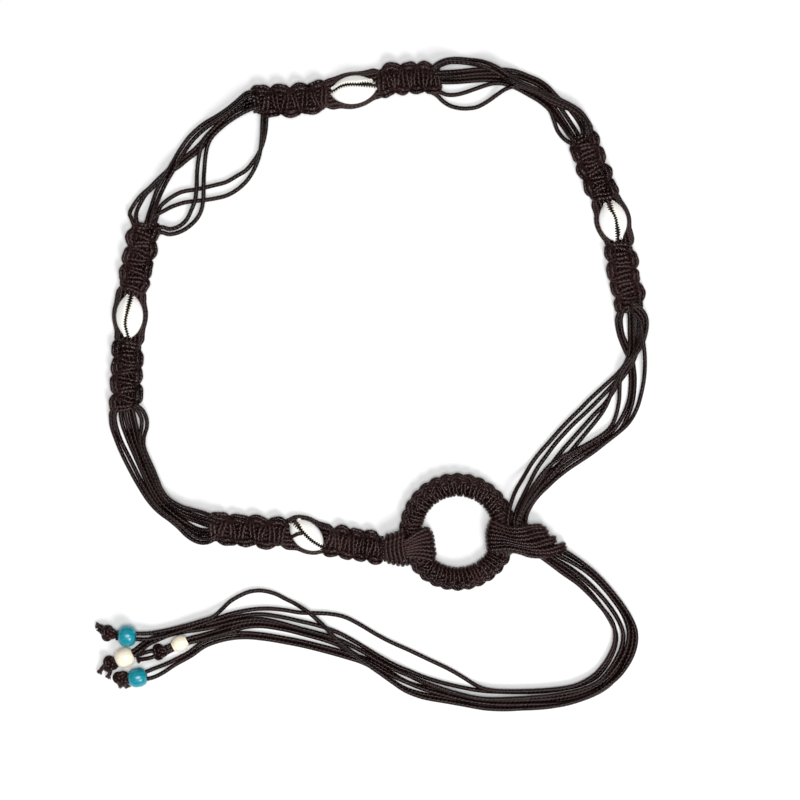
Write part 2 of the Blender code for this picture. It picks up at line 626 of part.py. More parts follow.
def make_end_knot(name, start, towards, knot_length, fray_length, height, finish):
    """Overhand knot behind a bead, with the two short ends past it."""
    begin = layout(start)
    ahead = (layout(towards) - begin).normalized()
    side = Vector((-ahead.y, ahead.x, 0.0))
    total = knot_length + fray_length
    rows = ((0.0, 1.5, 2.6), (0.10, 2.7, 4.4), (0.32, 3.3, 5.4), (0.52, 2.6, 4.6), (0.72, 3.1, 5.2),
            (1.0, 1.9, 2.6))
    points = [begin + ahead * (share * knot_length) + side * (0.5 * math.sin(5 * share)) for share, _, _ in rows]
    halves = [half for _, half, _ in rows]
    highs = [high for _, _, high in rows]
    lows = [max(0.05, height - 0.5 * high - (height - 2.7) * share)
            for (share, _, _), high in zip(rows, highs)]
    points.append(begin + ahead * (knot_length + 0.6 * fray_length))
    points.append(begin + ahead * total)
    halves += [1.9, 2.1]
    highs += [2.2, 1.8]
    lows += [0.6, 0.15]
    return lump(name, points, halves, highs, lows, finish, sides=8)


def bead_lift(name, point):
    """Height that a tail cord has inside its bead and up to the knot behind it."""
    on = {"tail_cord_4": 0, "tail_cord_5": 0, "tail_cord_3": 1, "tail_cord_1": 2, "tail_cord_2": 3}[name]
    _, centre, towards, radius = BEADS[on]
    at = layout(centre)
    axis = (layout(towards) - at).normalized()
    along = (point - at).dot(axis)
    if along > 0 and (point - at).length < 9.0:
        return radius + 0.05
    away = (point - at).length
    return radius + 0.05 - 0.38 * max(0.0, away - 0.5 * BEAD_LENGTH - 0.6)


def move_to_origin():
    """Puts the middle of the whole object's box at X = Y = 0 and its lowest point at Z = 0."""
    corners = [v.co for made in bpy.data.objects for v in made.data.vertices]
    shift = Vector((0.5 * (min(c.x for c in corners) + max(c.x for c in corners)),
                    0.5 * (min(c.y for c in corners) + max(c.y for c in corners)),
                    min(c.z for c in corners)))
    for made in bpy.data.objects:
        for vertex in made.data.vertices:
            vertex.co -= shift
        made.data.update()


for stale in list(bpy.data.objects):
    bpy.data.objects.remove(stale)

cord_brown = finish_of("waxed_cord", (0.027, 0.017, 0.016), 0.45)
shell_white = finish_of("cowrie_shell", (0.85, 0.81, 0.72), 0.2)
bead_blue = finish_of("turquoise_wood", (0.012, 0.38, 0.48), 0.25)
bead_pale = finish_of("natural_wood", (0.83, 0.68, 0.45), 0.4)

for row in BANDS:
    make_band(row, cord_brown)
    make_shell(row[0].replace("_band", "_shell"), row, shell_white)

cord_group(LEFT_TOP_CORDS, cord_brown, 8.0)
cord_group(TOP_RIGHT_CORDS, cord_brown, 8.0)
cord_group(RIGHT_RING_CORDS, cord_brown, 9.0, base=(END_HEIGHT, 1.0))
cord_group(BOTTOM_LEFT_CORDS, cord_brown, 8.0)
cord_group(TAIL_CORDS, cord_brown, 9.5, base=(1.0, 1.0), lifts=bead_lift)

make_ring(cord_brown)
ring_saddle("ring_hitch", 194.0, 21.0, 2, 9, cord_brown)
ring_saddle("ring_knot_loops", -5.5, 15.5, 2, 9, cord_brown)
lump("ring_binding", [layout(p) for p in ((385.6, 548.6), (387.8, 548.9), (391.8, 549.1), (394, 549))],
     [8.0, 9.3, 9.3, 8.2], [6.0, 7.4, 7.4, 6.2], [0.1, 0.0, 0.0, 0.1], cord_brown)
lump("ring_knot", [layout(p) for p in ((522.5, 537), (526, 538), (536, 540.5), (546, 543.5), (555, 546.5),
                                       (561, 548.5), (564, 549.5))],
     [6.4, 7.2, 7.4, 6.8, 5.6, 4.0, 2.4], [8.0, 9.4, 9.8, 9.2, 7.8, 6.0, 4.0],
     [0.3, 0.0, 0.0, 0.0, 0.1, 0.4, 1.0], cord_brown)

for name, centre, towards, radius in BEADS:
    make_bead(name, centre, towards, radius, bead_blue if name.startswith("turquoise") else bead_pale)
for (name, start, towards, knot_length, fray_length), bead in zip(END_KNOTS, BEADS):
    make_end_knot(name, start, towards, knot_length, fray_length, bead[3] + 0.05, cord_brown)

move_to_origin()
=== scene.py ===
# %% [markdown]
# # A macrame rope belt
# The real belt is knotted from eight long waxed cotton cords. They form four bands of square knots, run
# loose between the bands, go over a wrapped ring and end in a beaded tail.
# The solids made earlier give every piece its place, so each step below builds finer cords where a
# plain solid lies and then lets them stand for that solid.

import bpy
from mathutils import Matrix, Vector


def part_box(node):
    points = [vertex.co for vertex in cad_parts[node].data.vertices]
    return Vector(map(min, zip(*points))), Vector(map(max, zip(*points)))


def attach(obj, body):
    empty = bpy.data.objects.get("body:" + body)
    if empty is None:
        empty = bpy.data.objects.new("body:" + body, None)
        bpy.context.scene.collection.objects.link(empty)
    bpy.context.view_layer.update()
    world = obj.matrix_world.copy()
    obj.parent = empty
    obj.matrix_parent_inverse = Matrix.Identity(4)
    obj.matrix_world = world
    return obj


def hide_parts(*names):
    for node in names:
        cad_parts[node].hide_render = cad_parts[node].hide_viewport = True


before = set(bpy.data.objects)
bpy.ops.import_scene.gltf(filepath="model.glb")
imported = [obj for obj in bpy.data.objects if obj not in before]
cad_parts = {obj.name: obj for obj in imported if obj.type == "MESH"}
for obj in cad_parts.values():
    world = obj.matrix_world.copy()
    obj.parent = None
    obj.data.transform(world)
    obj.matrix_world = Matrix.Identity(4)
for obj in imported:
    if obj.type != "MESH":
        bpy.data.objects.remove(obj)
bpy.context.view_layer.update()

import math

import bpy
import numpy as np
from mathutils import Vector

MM = 0.001
print("pieces to dress:", len(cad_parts))

# %% [markdown]
# ## Places
# The belt was laid out on a square grid with steps of half a millimetre. The ring's own box tells where
# that grid sits, so a place on the grid turns into millimetres in the belt's frame. That keeps the
# fine cords on the plain ones without typing the shift by hand.

# %% Grid places in millimetres
GRID_STEP = 0.5
RING_MARK = (457.5, 531.5)
ring_low, ring_high = (np.array(corner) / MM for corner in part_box("ring"))
RING_HEART = (ring_low + ring_high) / 2


def spot(mark, height=0.0):
    """Place in millimetres of a mark on the grid."""
    return np.array([RING_HEART[0] + (mark[0] - RING_MARK[0]) * GRID_STEP,
                     RING_HEART[1] - (mark[1] - RING_MARK[1]) * GRID_STEP, height])


print("ring at", RING_HEART.round(2), "mm")

# %% [markdown]
# ## Camera
# The belt is seen from straight above. A long lens far away keeps the sides of the cords out of
# sight, as on a copy stand. The camera comes early because the free cords are judged against its view.

# %% Camera over the belt
CAMERA_HEIGHT = 1.7
SHOWN_WIDTH = 0.4
view_camera = bpy.data.cameras.new("overhead_camera")
view_camera.sensor_width = 36.0
view_camera.lens = 36.0 * CAMERA_HEIGHT / SHOWN_WIDTH
view_camera.clip_end = 50.0
camera = bpy.data.objects.new("overhead_camera", view_camera)
camera.location = Vector(spot((400, 400)) * MM) + Vector((0.0, 0.0, CAMERA_HEIGHT))
bpy.context.scene.collection.objects.link(camera)
bpy.context.scene.camera = camera
print("lens", round(view_camera.lens, 1), "mm")

# %% [markdown]
# ## Waxed cotton cord
# Waxed cord is a tight round braid of fine cotton strands, rubbed with wax. The wax gives it a soft
# shine, and the braid breaks that shine into small beads. The braid could be modelled strand by strand,
# but at two millimetres thick it is finer than any view needs, so two crossing waves in the bump draw
# it. They run on the cord's own coordinates: once round, and along in millimetres. The same waves paint
# shade into the colour, darker in the braid's grooves and lighter on its crowns, mixed with random
# patches of tone. Cord that lies loose on the bright table gets a darker copy of the same finish,
# painted shade against the light that the table throws back onto it; cord in a knot needs none, as
# its neighbours shade it anyway.

# %% Cord finish


class Finish:
    """A material in the making: its shader and short ways to add nodes to it."""

    def __init__(self, name):
        self.made = bpy.data.materials.new(name)
        self.made.use_nodes = True
        self.tree = self.made.node_tree
        self.shader = self.tree.nodes["Principled BSDF"]

    def node(self, kind, inputs, output=0, **settings):
        """Adds a node, fills its inputs with numbers or links, and gives one of its outputs."""
        fresh = self.tree.nodes.new("ShaderNode" + kind)
        for key, value in settings.items():
            setattr(fresh, key, value)
        for key, value in inputs.items():
            if isinstance(value, bpy.types.NodeSocket):
                self.tree.links.new(value, fresh.inputs[key])
            else:
                fresh.inputs[key].default_value = value
        return fresh.outputs[output]

    def maths(self, operation, *values):
        return self.node("Math", dict(enumerate(values)), operation=operation)

    def spread(self, value, low, high, first, last):
        """Carries the range low to high over to first to last."""
        return self.node("MapRange", {0: value, 1: low, 2: high, 3: first, 4: last})

    def noise(self, where, scale, detail, **more):
        return self.node("TexNoise", {"Vector": where, "Scale": scale, "Detail": detail, **more}, "Fac")

    def blend(self, share, first, second):
        """Mixes two colours, each typed or made by other nodes."""
        first, second = ((*c, 1.0) if isinstance(c, tuple) else c for c in (first, second))
        return self.node("Mix", {"Factor": share, "A": first, "B": second}, "Result", data_type="RGBA")

    def bump(self, height, distance, strength, **more):
        return self.node("Bump", {"Height": height, "Distance": distance, "Strength": strength, **more})

    def coordinates(self, name):
        """The two numbers that the mesh keeps under this name."""
        place = self.node("UVMap", {}, uv_map=name)
        return [self.node("SeparateXYZ", {0: place}, axis) for axis in (0, 1)]

    def own_space(self):
        return self.node("TexCoord", {}, "Object")

    def set(self, **inputs):
        """Fills inputs of the shader, such as Base_Color, with numbers or links."""
        for key, value in inputs.items():
            socket = self.shader.inputs[key.replace("_", " ")]
            if isinstance(value, bpy.types.NodeSocket):
                self.tree.links.new(value, socket)
            else:
                socket.default_value = value
        return self.made


BRAID_TURNS, BRAID_PITCH = 2.0, 2.1


def braid_height(finish):
    """Crossing waves that stand for the braid's small diamonds."""
    round_cord, along_cord = finish.coordinates("cord")
    around = finish.maths("MULTIPLY", round_cord, BRAID_TURNS * 2 * math.pi)
    along = finish.maths("MULTIPLY", along_cord, 2 * math.pi / BRAID_PITCH)
    waves = [finish.maths("SINE", finish.maths(way, around, along)) for way in ("ADD", "SUBTRACT")]
    return finish.maths("MAXIMUM", *waves)


def waxed_cord(name, dark, light, shine=0.19):
    finish = Finish(name)
    height = braid_height(finish)
    patches = finish.noise(finish.own_space(), 70.0, 3.0)
    fibre = finish.noise(finish.own_space(), 2600.0, 2.0)
    # Painted shade: the colour is darker in the braid's grooves and lighter on its crowns, mixed with
    # random patches of tone.
    groove_shade_and_patches = finish.maths("MULTIPLY", finish.spread(height, -0.6, 0.9, 0.25, 0.75), patches)
    rise = finish.bump(height, 0.00014, 0.65)
    return finish.set(
        Base_Color=finish.blend(finish.spread(groove_shade_and_patches, 0.1, 0.42, 0.0, 1.0), dark, light),
        Roughness=finish.spread(patches, 0.32, 0.66, shine - 0.07, shine + 0.2),
        Specular_IOR_Level=0.25, Specular_Tint=(1.0, 0.88, 0.87, 1.0),
        Normal=finish.bump(fibre, 0.00007, 0.6, Normal=rise))


brown_cord = waxed_cord("dark_brown_waxed_cord", (0.0018, 0.0005, 0.0005), (0.027, 0.0112, 0.0104))
# Painted shade: a darker copy of the cord finish for the loose cords, against the light that the white
# table throws back onto them.
shaded_loose_cord = waxed_cord("dark_brown_loose_cord_painted_shade", (0.0008, 0.0002, 0.0002), (0.0150, 0.0060, 0.0055))
print("cord finishes:", brown_cord.name, shaded_loose_cord.name)

# %% [markdown]
# ## Cords as tubes
# Every cord is a tube that follows a line of points. A curve with a bevel would do for a single
# loose cord, but the knots need hundreds of turns in one piece and a braid that runs along each of
# them. So one helper sweeps a ring of points along any number of lines and writes those cord coordinates.

# %% Smooth lines and tubes
CORD = 2.0


def smooth_line(marks, spacing=1.0):
    """Evenly spaced points on a smooth curve through the given ones."""
    known = np.array([np.asarray(m, float) for m in marks])
    known = np.vstack([2 * known[0] - known[1], known, 2 * known[-1] - known[-2]])
    fine = []
    for p0, p1, p2, p3 in zip(known, known[1:], known[2:], known[3:]):
        t = np.linspace(0, 1, max(4, int(np.linalg.norm(p2 - p1) / 0.25)), endpoint=False)[:, None]
        fine.append(0.5 * (2 * p1 + (p2 - p0) * t + (2 * p0 - 5 * p1 + 4 * p2 - p3) * t ** 2
                           + (3 * p1 - p0 - 3 * p2 + p3) * t ** 3))
    fine = np.vstack([*fine, known[-2][None]])
    return even(fine, spacing)


def run_of(line):
    """Distance along the line at each of its points."""
    return np.concatenate([[0], np.cumsum(np.linalg.norm(np.diff(line, axis=0), axis=1))])


def even(line, spacing):
    """The same line with evenly spaced points."""
    run = run_of(line)
    want = np.linspace(0, run[-1], max(3, int(round(run[-1] / spacing)) + 1))
    return np.stack([np.interp(want, run, line[:, k]) for k in range(line.shape[1])], axis=1)


def line_length(line):
    return float(run_of(line)[-1])


def unit(vectors):
    return vectors / np.maximum(np.linalg.norm(vectors, axis=-1, keepdims=True), 1e-9)


def across_line(ahead, closed):
    """A direction across a line at each point, carried along it without twisting."""
    side = np.cross(ahead[0], (0.0, 0.0, 1.0))
    if np.linalg.norm(side) < 0.1:
        side = np.cross(ahead[0], (1.0, 0.0, 0.0))
    across = np.empty((len(ahead), 3))
    for i, forward in enumerate(ahead):
        side = unit(side - forward * side.dot(forward))
        across[i] = side
    if closed:
        start, last = across[0], across[-1]
        twist = math.atan2(np.cross(last, start).dot(ahead[0]), last.dot(start))
        turns = (twist * np.arange(len(ahead)) / len(ahead))[:, None]
        across = across * np.cos(turns) + np.cross(ahead, across) * np.sin(turns)
    return across


def sweep(line, radius, sides, closed):
    """Corners, faces and cord coordinates of one round tube."""
    count = len(line)
    if closed:
        ahead = unit(np.roll(line, -1, axis=0) - np.roll(line, 1, axis=0))
    else:
        ahead = unit(np.gradient(line, axis=0))
    across = across_line(ahead, closed)
    turn = (np.arange(sides) * 2 * math.pi / sides)[None, :, None]
    corners = line[:, None] + radius * (across[:, None] * np.cos(turn)
                                        + np.cross(ahead, across)[:, None] * np.sin(turn))
    spans = count if closed else count - 1
    i, j = np.arange(spans)[:, None], np.arange(sides)[None, :]
    here, there, beside_j = i * sides, (i + 1) % count * sides, (j + 1) % sides
    faces = np.stack([here + j, here + beside_j, there + beside_j, there + j], axis=-1)
    run = run_of(line)
    run = np.append(run, run[-1] + 1.0)
    low, high, left, right = np.broadcast_arrays(run[:spans, None], run[1:spans + 1, None],
                                                 j / sides, (j + 1) / sides)
    places = np.stack([left, low, right, low, right, high, left, high], axis=-1)
    return corners.reshape(-1, 3), faces.reshape(-1, 4), places.ravel()


def mesh_of(name, corners, faces, layer, places):
    """Smooth mesh from corners in millimetres, with two coordinates for each corner of each face."""
    made = bpy.data.meshes.new(name)
    made.from_pydata((corners * MM).tolist(), [], faces)
    made.uv_layers.new(name=layer).data.foreach_set("uv", places)
    made.polygons.foreach_set("use_smooth", [True] * len(faces))
    made.update()
    return made


def tube_mesh(name, lines, radius, sides=10, closed=False):
    """One mesh of round tubes along the lines, with the cord's own coordinates."""
    corners, faces, places, caps, base = [], [], [], [], 0
    for line in lines:
        tube_corners, tube_faces, tube_places = sweep(line, radius, sides, closed)
        corners.append(tube_corners)
        faces += (tube_faces + base).tolist()
        places.append(tube_places)
        start, base = base, base + len(tube_corners)
        if not closed:
            caps += [list(reversed(range(start, start + sides))), list(range(base - sides, base))]
    places.append(np.zeros(len(caps) * sides * 2))
    return mesh_of(name, np.vstack(corners), faces + caps, "cord", np.concatenate(places))


def add_piece(name, mesh, finish, nodes=()):
    """Puts a mesh in the scene as a piece of the belt."""
    piece = bpy.data.objects.new(name, mesh)
    bpy.context.scene.collection.objects.link(piece)
    mesh.materials.clear()
    mesh.materials.append(finish)
    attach(piece, "root")
    if nodes:
        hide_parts(*nodes)
    return piece


def add_cords(name, lines, nodes=(), sides=10, closed=False, radius=1.06, finish=brown_cord):
    """Brown cords along the lines as one piece, a little fatter than CORD, as they aren't pulled tight."""
    piece = add_piece(name, tube_mesh(name, lines, radius, sides, closed), finish, nodes)
    print(name, len(lines), "cords,", len(piece.data.polygons), "faces")
    return piece


# %% [markdown]
# ## Knotted bands
# Each band is a flat row of square knots over four straight filler cords. One pair of working cords
# zigzags over the front in slanting bars. The other pair crosses behind, comes up at each edge and lies
# there as a fat bump that clasps two bars. A texture on a flat strap would show none of that relief, so
# both pairs are led through marks read off one knot: how far out, how far along and how high.

# %% Where the bands lie
BANDS = {
    "left": dict(
        route=((146, 222), (143.9, 233.6), (139.7, 256.5), (134.5, 279.5), (131, 298), (130.4, 318),
               (129.5, 342), (128.2, 356), (127.3, 374), (127.1, 392), (126.2, 412)),
        shell=(130.2, 316.1), length=21.9, width=13.8, turn=0.0,
        mouth=((132, 294.5, 0.95), (130.8, 301, 0.85), (129.6, 306, 0.7), (128.2, 312.5, 0.5),
               (127, 317.5, 0.42), (126.3, 322.5, 0.45), (126.3, 326, 0.45), (127.4, 331, 0.45),
               (128.8, 338, 0.5))),
    "top": dict(
        route=((252, 101.5), (264, 101.6), (276, 101.6), (295, 100.8), (319, 97.2), (348, 90), (373, 84.4),
               (394, 79.8), (409, 78.9), (427, 78.4), (441, 78)),
        shell=(353.7, 90.4), length=23.2, width=14.5, turn=-4.6,
        mouth=((330.5, 92.5, 0.4), (335, 90.6, 0.45), (340, 87.7, 0.45), (346.3, 85.9, 0.5),
               (352.5, 85.5, 0.5), (358.8, 85.6, 0.55), (365, 85.2, 0.95), (371.3, 85.3, 1.05),
               (377, 85.7, 1.1))),
    "right": dict(
        route=((581, 134), (586.2, 151), (593, 169), (600, 187), (604.5, 199), (610.5, 213), (615.5, 229),
               (619.3, 241), (621.2, 261), (622.9, 276), (627, 290), (630.3, 304), (631, 313)),
        shell=(612.6, 221), length=20.6, width=14.2, turn=-7.0,
        mouth=((607.5, 200, 1.35), (609.5, 208, 1.0), (611.3, 212, 0.6), (613.1, 215, 0.42),
               (615, 220, 0.42), (615.8, 225, 0.5), (616.9, 231.3, 0.9), (617.4, 236, 0.85),
               (617.7, 242, 0.8))),
    "bottom": dict(
        route=((208, 527), (226, 529), (256.6, 531.3), (279.5, 533.6), (310, 535.2), (333, 540.3),
               (356, 544), (370, 546.3), (383.6, 548.3)),
        shell=(306.8, 534.9), length=20.2, width=13.4, turn=-35.0,
        mouth=((293, 518.5, 1.3), (296.5, 522.5, 1.3), (299, 526, 0.9), (301.5, 529.5, 0.5),
               (305, 533.3, 0.5), (311.3, 539.3, 0.5), (317.5, 543.6, 0.5), (323, 547, 0.4))),
}
BARS_PER_HALF = 8
CORE_HEIGHT = 3.15
SHELL_RIM = 2.32
SHELL_HEIGHT = 6.5


class Track:
    """A band's centreline, which turns distance along and across it into places."""

    def __init__(self, band):
        self.line = smooth_line([spot(m)[:2] for m in band["route"]], 0.5)
        self.run = run_of(self.line)
        self.ahead = unit(np.gradient(self.line, axis=0))
        self.end = self.run[-1]
        at_shell = np.argmin(np.linalg.norm(self.line - spot(band["shell"])[:2], axis=1))
        self.middle, self.shell_ahead = self.run[at_shell], self.ahead[at_shell]
        self.turn = math.radians(band["turn"])
        self.room = 0.9 + math.hypot(band["length"] * math.cos(self.turn),
                                     band["width"] * math.sin(self.turn)) / 2

    def at(self, along, across, up):
        along = np.atleast_1d(np.asarray(along, float))
        inside = np.clip(along, 0, self.end)
        x, y, dx, dy = (np.interp(inside, self.run, values) for values in (*self.line.T, *self.ahead.T))
        past = along - inside
        return np.stack([x + dx * past - dy * across, y + dy * past + dx * across,
                         np.broadcast_to(up, along.shape)], axis=1)


def power(values, exponent):
    return np.sign(values) * np.abs(values) ** exponent


# Marks of one bump on an edge: millimetres out from the middle, bars along, and millimetres up.
OUTER_BUMP = ((2.6, -0.20, 1.06), (5.2, -0.40, 1.6), (6.2, -0.30, 2.9), (7.0, -0.02, 3.9), (7.35, 0.5, 4.3),
              (7.0, 1.02, 3.9), (6.2, 1.30, 2.9), (5.2, 1.40, 1.6), (2.6, 1.20, 1.06))
INNER_BUMP = ((2.4, 0.16, 1.06), (4.3, -0.22, 2.2), (4.6, -0.17, 4.0), (5.0, 0.08, 5.0), (5.4, 0.5, 5.4),
              (5.0, 0.92, 5.0), (4.6, 1.17, 4.0), (4.3, 1.22, 2.2), (2.4, 0.84, 1.06))
# Marks of one bar, from edge to edge.
BAR = ((4.3, -0.15, 4.0), (2.6, -0.09, 4.9), (0.0, 0.0, 5.1), (-2.6, 0.09, 4.9), (-4.3, 0.15, 4.0))
OUTER_TURN, INNER_TURN = (5.6, -0.5, 2.7), (4.9, -0.5, 2.4)


def square_knots(track, start, stop, bars, flip, seed):
    """Working pairs of one run of knots: four lines in millimetres."""
    pitch = (stop - start) / bars
    apart = 1.0 / pitch
    lines = []
    for way in (1.0, -1.0):
        bar_marks, bump_marks = [], []
        for k in range(bars + 1):
            side = flip * (-1) ** k
            outer = side * way > 0
            shift = apart if outer else -apart
            across, along, up = OUTER_TURN if outer else INNER_TURN
            bar_marks.append((side * across, k + along, up))
            if k < bars:
                bar_marks += [(side * across, k + along + shift, up) for across, along, up in BAR]
            if k < bars - 1:
                bump_marks += [(side * across, k + along, up)
                               for across, along, up in (OUTER_BUMP if outer else INNER_BUMP)]
        lines += [bar_marks, bump_marks]
    lines = lines[::2] + lines[1::2]
    done = []
    for marks in lines:
        across, along, up = np.array(marks).T
        path = smooth_line(np.stack([start + pitch * (along + 0.5), across, up], axis=1), 0.8)
        s, x = path[:, 0], path[:, 1]
        sway = 0.30 * np.sin(0.47 * s + seed) + 0.18 * np.sin(1.13 * s + 2.3 * seed + 0.3 * x)
        creep = 0.28 * np.sin(0.61 * s + 0.35 * x + 1.7 * seed) + 0.15 * np.sin(0.9 * x + seed + 0.3 * s)
        rise = 0.15 * np.sin(0.8 * s + 0.8 * x + seed)
        done.append(track.at(s + creep, x + sway, np.maximum(path[:, 2] + rise, 1.0)))
    return done


tracks = {name: Track(band) for name, band in BANDS.items()}
for seed, (name, track) in enumerate(tracks.items()):
    lines = square_knots(track, 0.0, track.middle - track.room, BARS_PER_HALF, 1.0, 1.0 + seed)
    lines += square_knots(track, track.middle + track.room, track.end, BARS_PER_HALF, -1.0, 5.0 + seed)
    add_cords(f"{name}_band_knots", lines, (f"{name}_band",))

# %% [markdown]
# ## Cords inside the bands
# Four filler cords run straight through each band and through the hollow back of the cowrie. Two more
# lines along the edges stand for the working cords where they lie behind the knots. Beside the shell
# the two pairs of working cords bow round it, one on the other, because its edge presses them together.
# At the bottom cowrie one filler comes out over the shell's corner and goes into its mouth.

# %% Fillers and side cords
CORD_STEP = 1.2
FILLERS, EDGE_FILLERS, EDGE_HEIGHT = (-3.0, -1.0, 1.0, 3.0), (-5.0, 5.0), 1.7
SIDE_CORDS = (dict(up=3.05, clear=0.35, rest=4.9, tuck=0.4), dict(up=1.35, clear=0.95, rest=6.75, tuck=1.9))
SOFTENER = (0.1, 0.2, 0.4, 0.2, 0.1)


def shell_aside(track, band):
    """How far the shell's middle lies beside the band's centreline."""
    nearest, next_to_it = track.at([track.middle, track.middle + 0.5], 0.0, 0.0)[:, :2]
    ahead, aside = next_to_it - nearest, spot(band["shell"])[:2] - nearest
    return 2.0 * (ahead[0] * aside[1] - ahead[1] * aside[0])


def across_corner(track, band, steps, sideways, up):
    """Leads a filler out over the shell's corner and down into its mouth."""
    from_end = steps - track.middle + track.room
    over = np.exp(-((from_end - 4.6) / 3.9) ** 4)
    sideways = sideways + over * np.interp(from_end, (0.0, 2.0, 8.5), (-0.8, -0.6, 3.2))
    on, out = steps - track.middle, sideways - shell_aside(track, band)
    reach = np.hypot((on * math.cos(track.turn) + out * math.sin(track.turn)) * 2 / band["length"],
                     (out * math.cos(track.turn) - on * math.sin(track.turn)) * 2 / band["width"])
    on_shell = SHELL_RIM + SHELL_HEIGHT * np.cos(np.minimum(reach, 1) * math.pi / 2) ** 0.82 + 0.6
    falling = np.exp(-(np.maximum(from_end - 5.4, 0) / 3.6) ** 4)
    return sideways, up + falling * np.maximum(on_shell - up, 0)


def round_shell(track, band, inner, way, cord):
    """Distance of a side cord from the centreline, so that it follows the shell's rim."""
    around = np.linspace(0, 2 * math.pi, 720)
    edge_on = 0.5 * band["length"] * np.cos(around)
    edge_out = 0.5 * band["width"] * np.sin(around) * (1 - 0.15 * np.cos(around) ** 2)
    rim_on = track.middle + edge_on * math.cos(track.turn) - edge_out * math.sin(track.turn)
    rim_out = shell_aside(track, band) + edge_on * math.sin(track.turn) + edge_out * math.cos(track.turn)
    near = np.abs(rim_on[None, :] - inner[:, None]) < 0.5
    rim = np.max(np.where(near, way * rim_out[None, :], -9.0), axis=1)
    past = np.clip((np.abs(inner - track.middle) - track.room + 0.4) / 3.0, 0, 1)
    rest = cord["rest"] - cord["tuck"] * past * past * (3 - 2 * past)
    out = np.logaddexp(2.5 * (rim + cord["clear"]), 2.5 * rest) / 2.5
    return np.convolve(np.pad(out, 2, mode="edge"), SOFTENER, mode="valid")


for name, band in BANDS.items():
    track = tracks[name]
    steps = np.arange(0.8, track.end - 0.6, CORD_STEP)
    dip = np.exp(-((steps - track.middle) / (track.room * 0.72)) ** 4)
    lines = []
    for k, across in enumerate(FILLERS):
        sideways = across + 0.25 * np.sin(steps / 6.0 + 2.1 * k) * dip
        up = CORE_HEIGHT - 2.0 * dip
        if name == "bottom" and k == 1:
            sideways, up = across_corner(track, band, steps, sideways, up)
        lines.append(track.at(steps, sideways, up))
    shell_start, shell_end = track.middle - track.room, track.middle + track.room
    for across in EDGE_FILLERS:
        for low, high in ((0.8, shell_start + 0.5), (shell_end - 0.5, track.end - 0.6)):
            lines.append(track.at(np.arange(low, high, CORD_STEP), across, EDGE_HEIGHT))
    inner = np.linspace(shell_start - 7.0, shell_end + 7.0, 60)
    for way in (1.0, -1.0):
        for cord in SIDE_CORDS:
            out = round_shell(track, band, inner, way, cord)
            out = out + 0.2 * np.sin(inner / 4.1 + 3 * way + 5 * cord["up"])
            lines.append(track.at(inner, way * out, cord["up"]))
    add_cords(f"{name}_band_core", lines, (f"{name}_band",))

# %% [markdown]
# ## Loose cords
# Between the bands the eight cords run loose, cross each other and lie on the table. A simulation
# could drop them, but their routes would drift from the real ones. So each cord keeps its chosen
# route seen from above, and only its height is worked out: a cord passes over those laid before it,
# with easy ramps up and down.

# %% Laying cords over each other


RAMP = 0.36


def eased(run, need, window=2.4):
    """Heights that never go under the need, with no climb steeper than RAMP."""
    far = np.abs(run[:, None] - run[None, :])
    raised = (need[None, :] - RAMP * np.maximum(0.0, far - window)).max(axis=1)
    near = (far <= window).astype(float)
    return np.maximum((near @ raised) / near.sum(axis=1), need)


def lay_down(routes, floors, spacing=CORD_STEP, gap=0.04, under=()):
    """Adds heights to flat lines, in the order in which they were laid, over what lies there.

    A gap below zero lets cords press into each other, as they do in a tight bundle."""
    if callable(floors):
        floors = [floors] * len(routes)
    done = list(under)
    for route, floor in zip(routes, floors):
        line = even(route, spacing)
        run = run_of(line)
        need = np.maximum(CORD / 2 + 0.02, floor(line, run))
        for other in done:
            apart = np.linalg.norm(line[:, None, :2] - other[None, :, :2], axis=2)
            lift = np.sqrt(np.maximum(0.0, (CORD + gap) ** 2 - apart ** 2))
            over = np.where(apart < CORD + gap, other[None, :, 2] + lift, 0.0)
            need = np.maximum(need, over.max(axis=1))
        done.append(np.column_stack([line, eased(run, need)]))
    return done[len(under):]


def flat_line(marks):
    return smooth_line([spot(m)[:2] for m in marks], 1.0)


def ends_up(first, last, ramp=RAMP):
    """A cord leaves one band and enters the next at these heights."""
    def floor(line, run):
        return np.maximum(first - ramp * np.maximum(0, run - 2.0),
                          last - ramp * np.maximum(0, run[-1] - run - 2.0))
    return floor


# The ring: its plaited rim, and its limb with half its breadth and half its height.
RIM_RADIUS, RIM_HEIGHT, RIM_HALF = 26.3, 5.9, 2.7
LIMB_RADIUS, LIMB_HEIGHT, LIMB_REACH, LIMB_RISE = 23.0, 4.1, 4.6, 3.1


def over_ring(line, run):
    """Height of a cord that lies on the wrapped ring."""
    radius = np.linalg.norm(line[:, :2] - RING_HEART[:2], axis=1)
    limb = np.clip(1 - np.abs((radius - LIMB_RADIUS) / (LIMB_REACH + 1.0)) ** 2.4, 0, 1) ** (1 / 2.4)
    rim = np.clip(1 - ((radius - RIM_RADIUS) / (RIM_HALF + 1.4)) ** 2, 0, 1) ** 0.5
    return np.maximum(np.where(limb > 0, LIMB_HEIGHT + (LIMB_RISE + 2.0) * limb, 0.0),
                      np.where(rim > 0, RIM_HEIGHT + (RIM_HALF + 1.0) * rim, 0.0))


def both(*floors):
    return lambda line, run: np.max([floor(line, run) for floor in floors], axis=0)


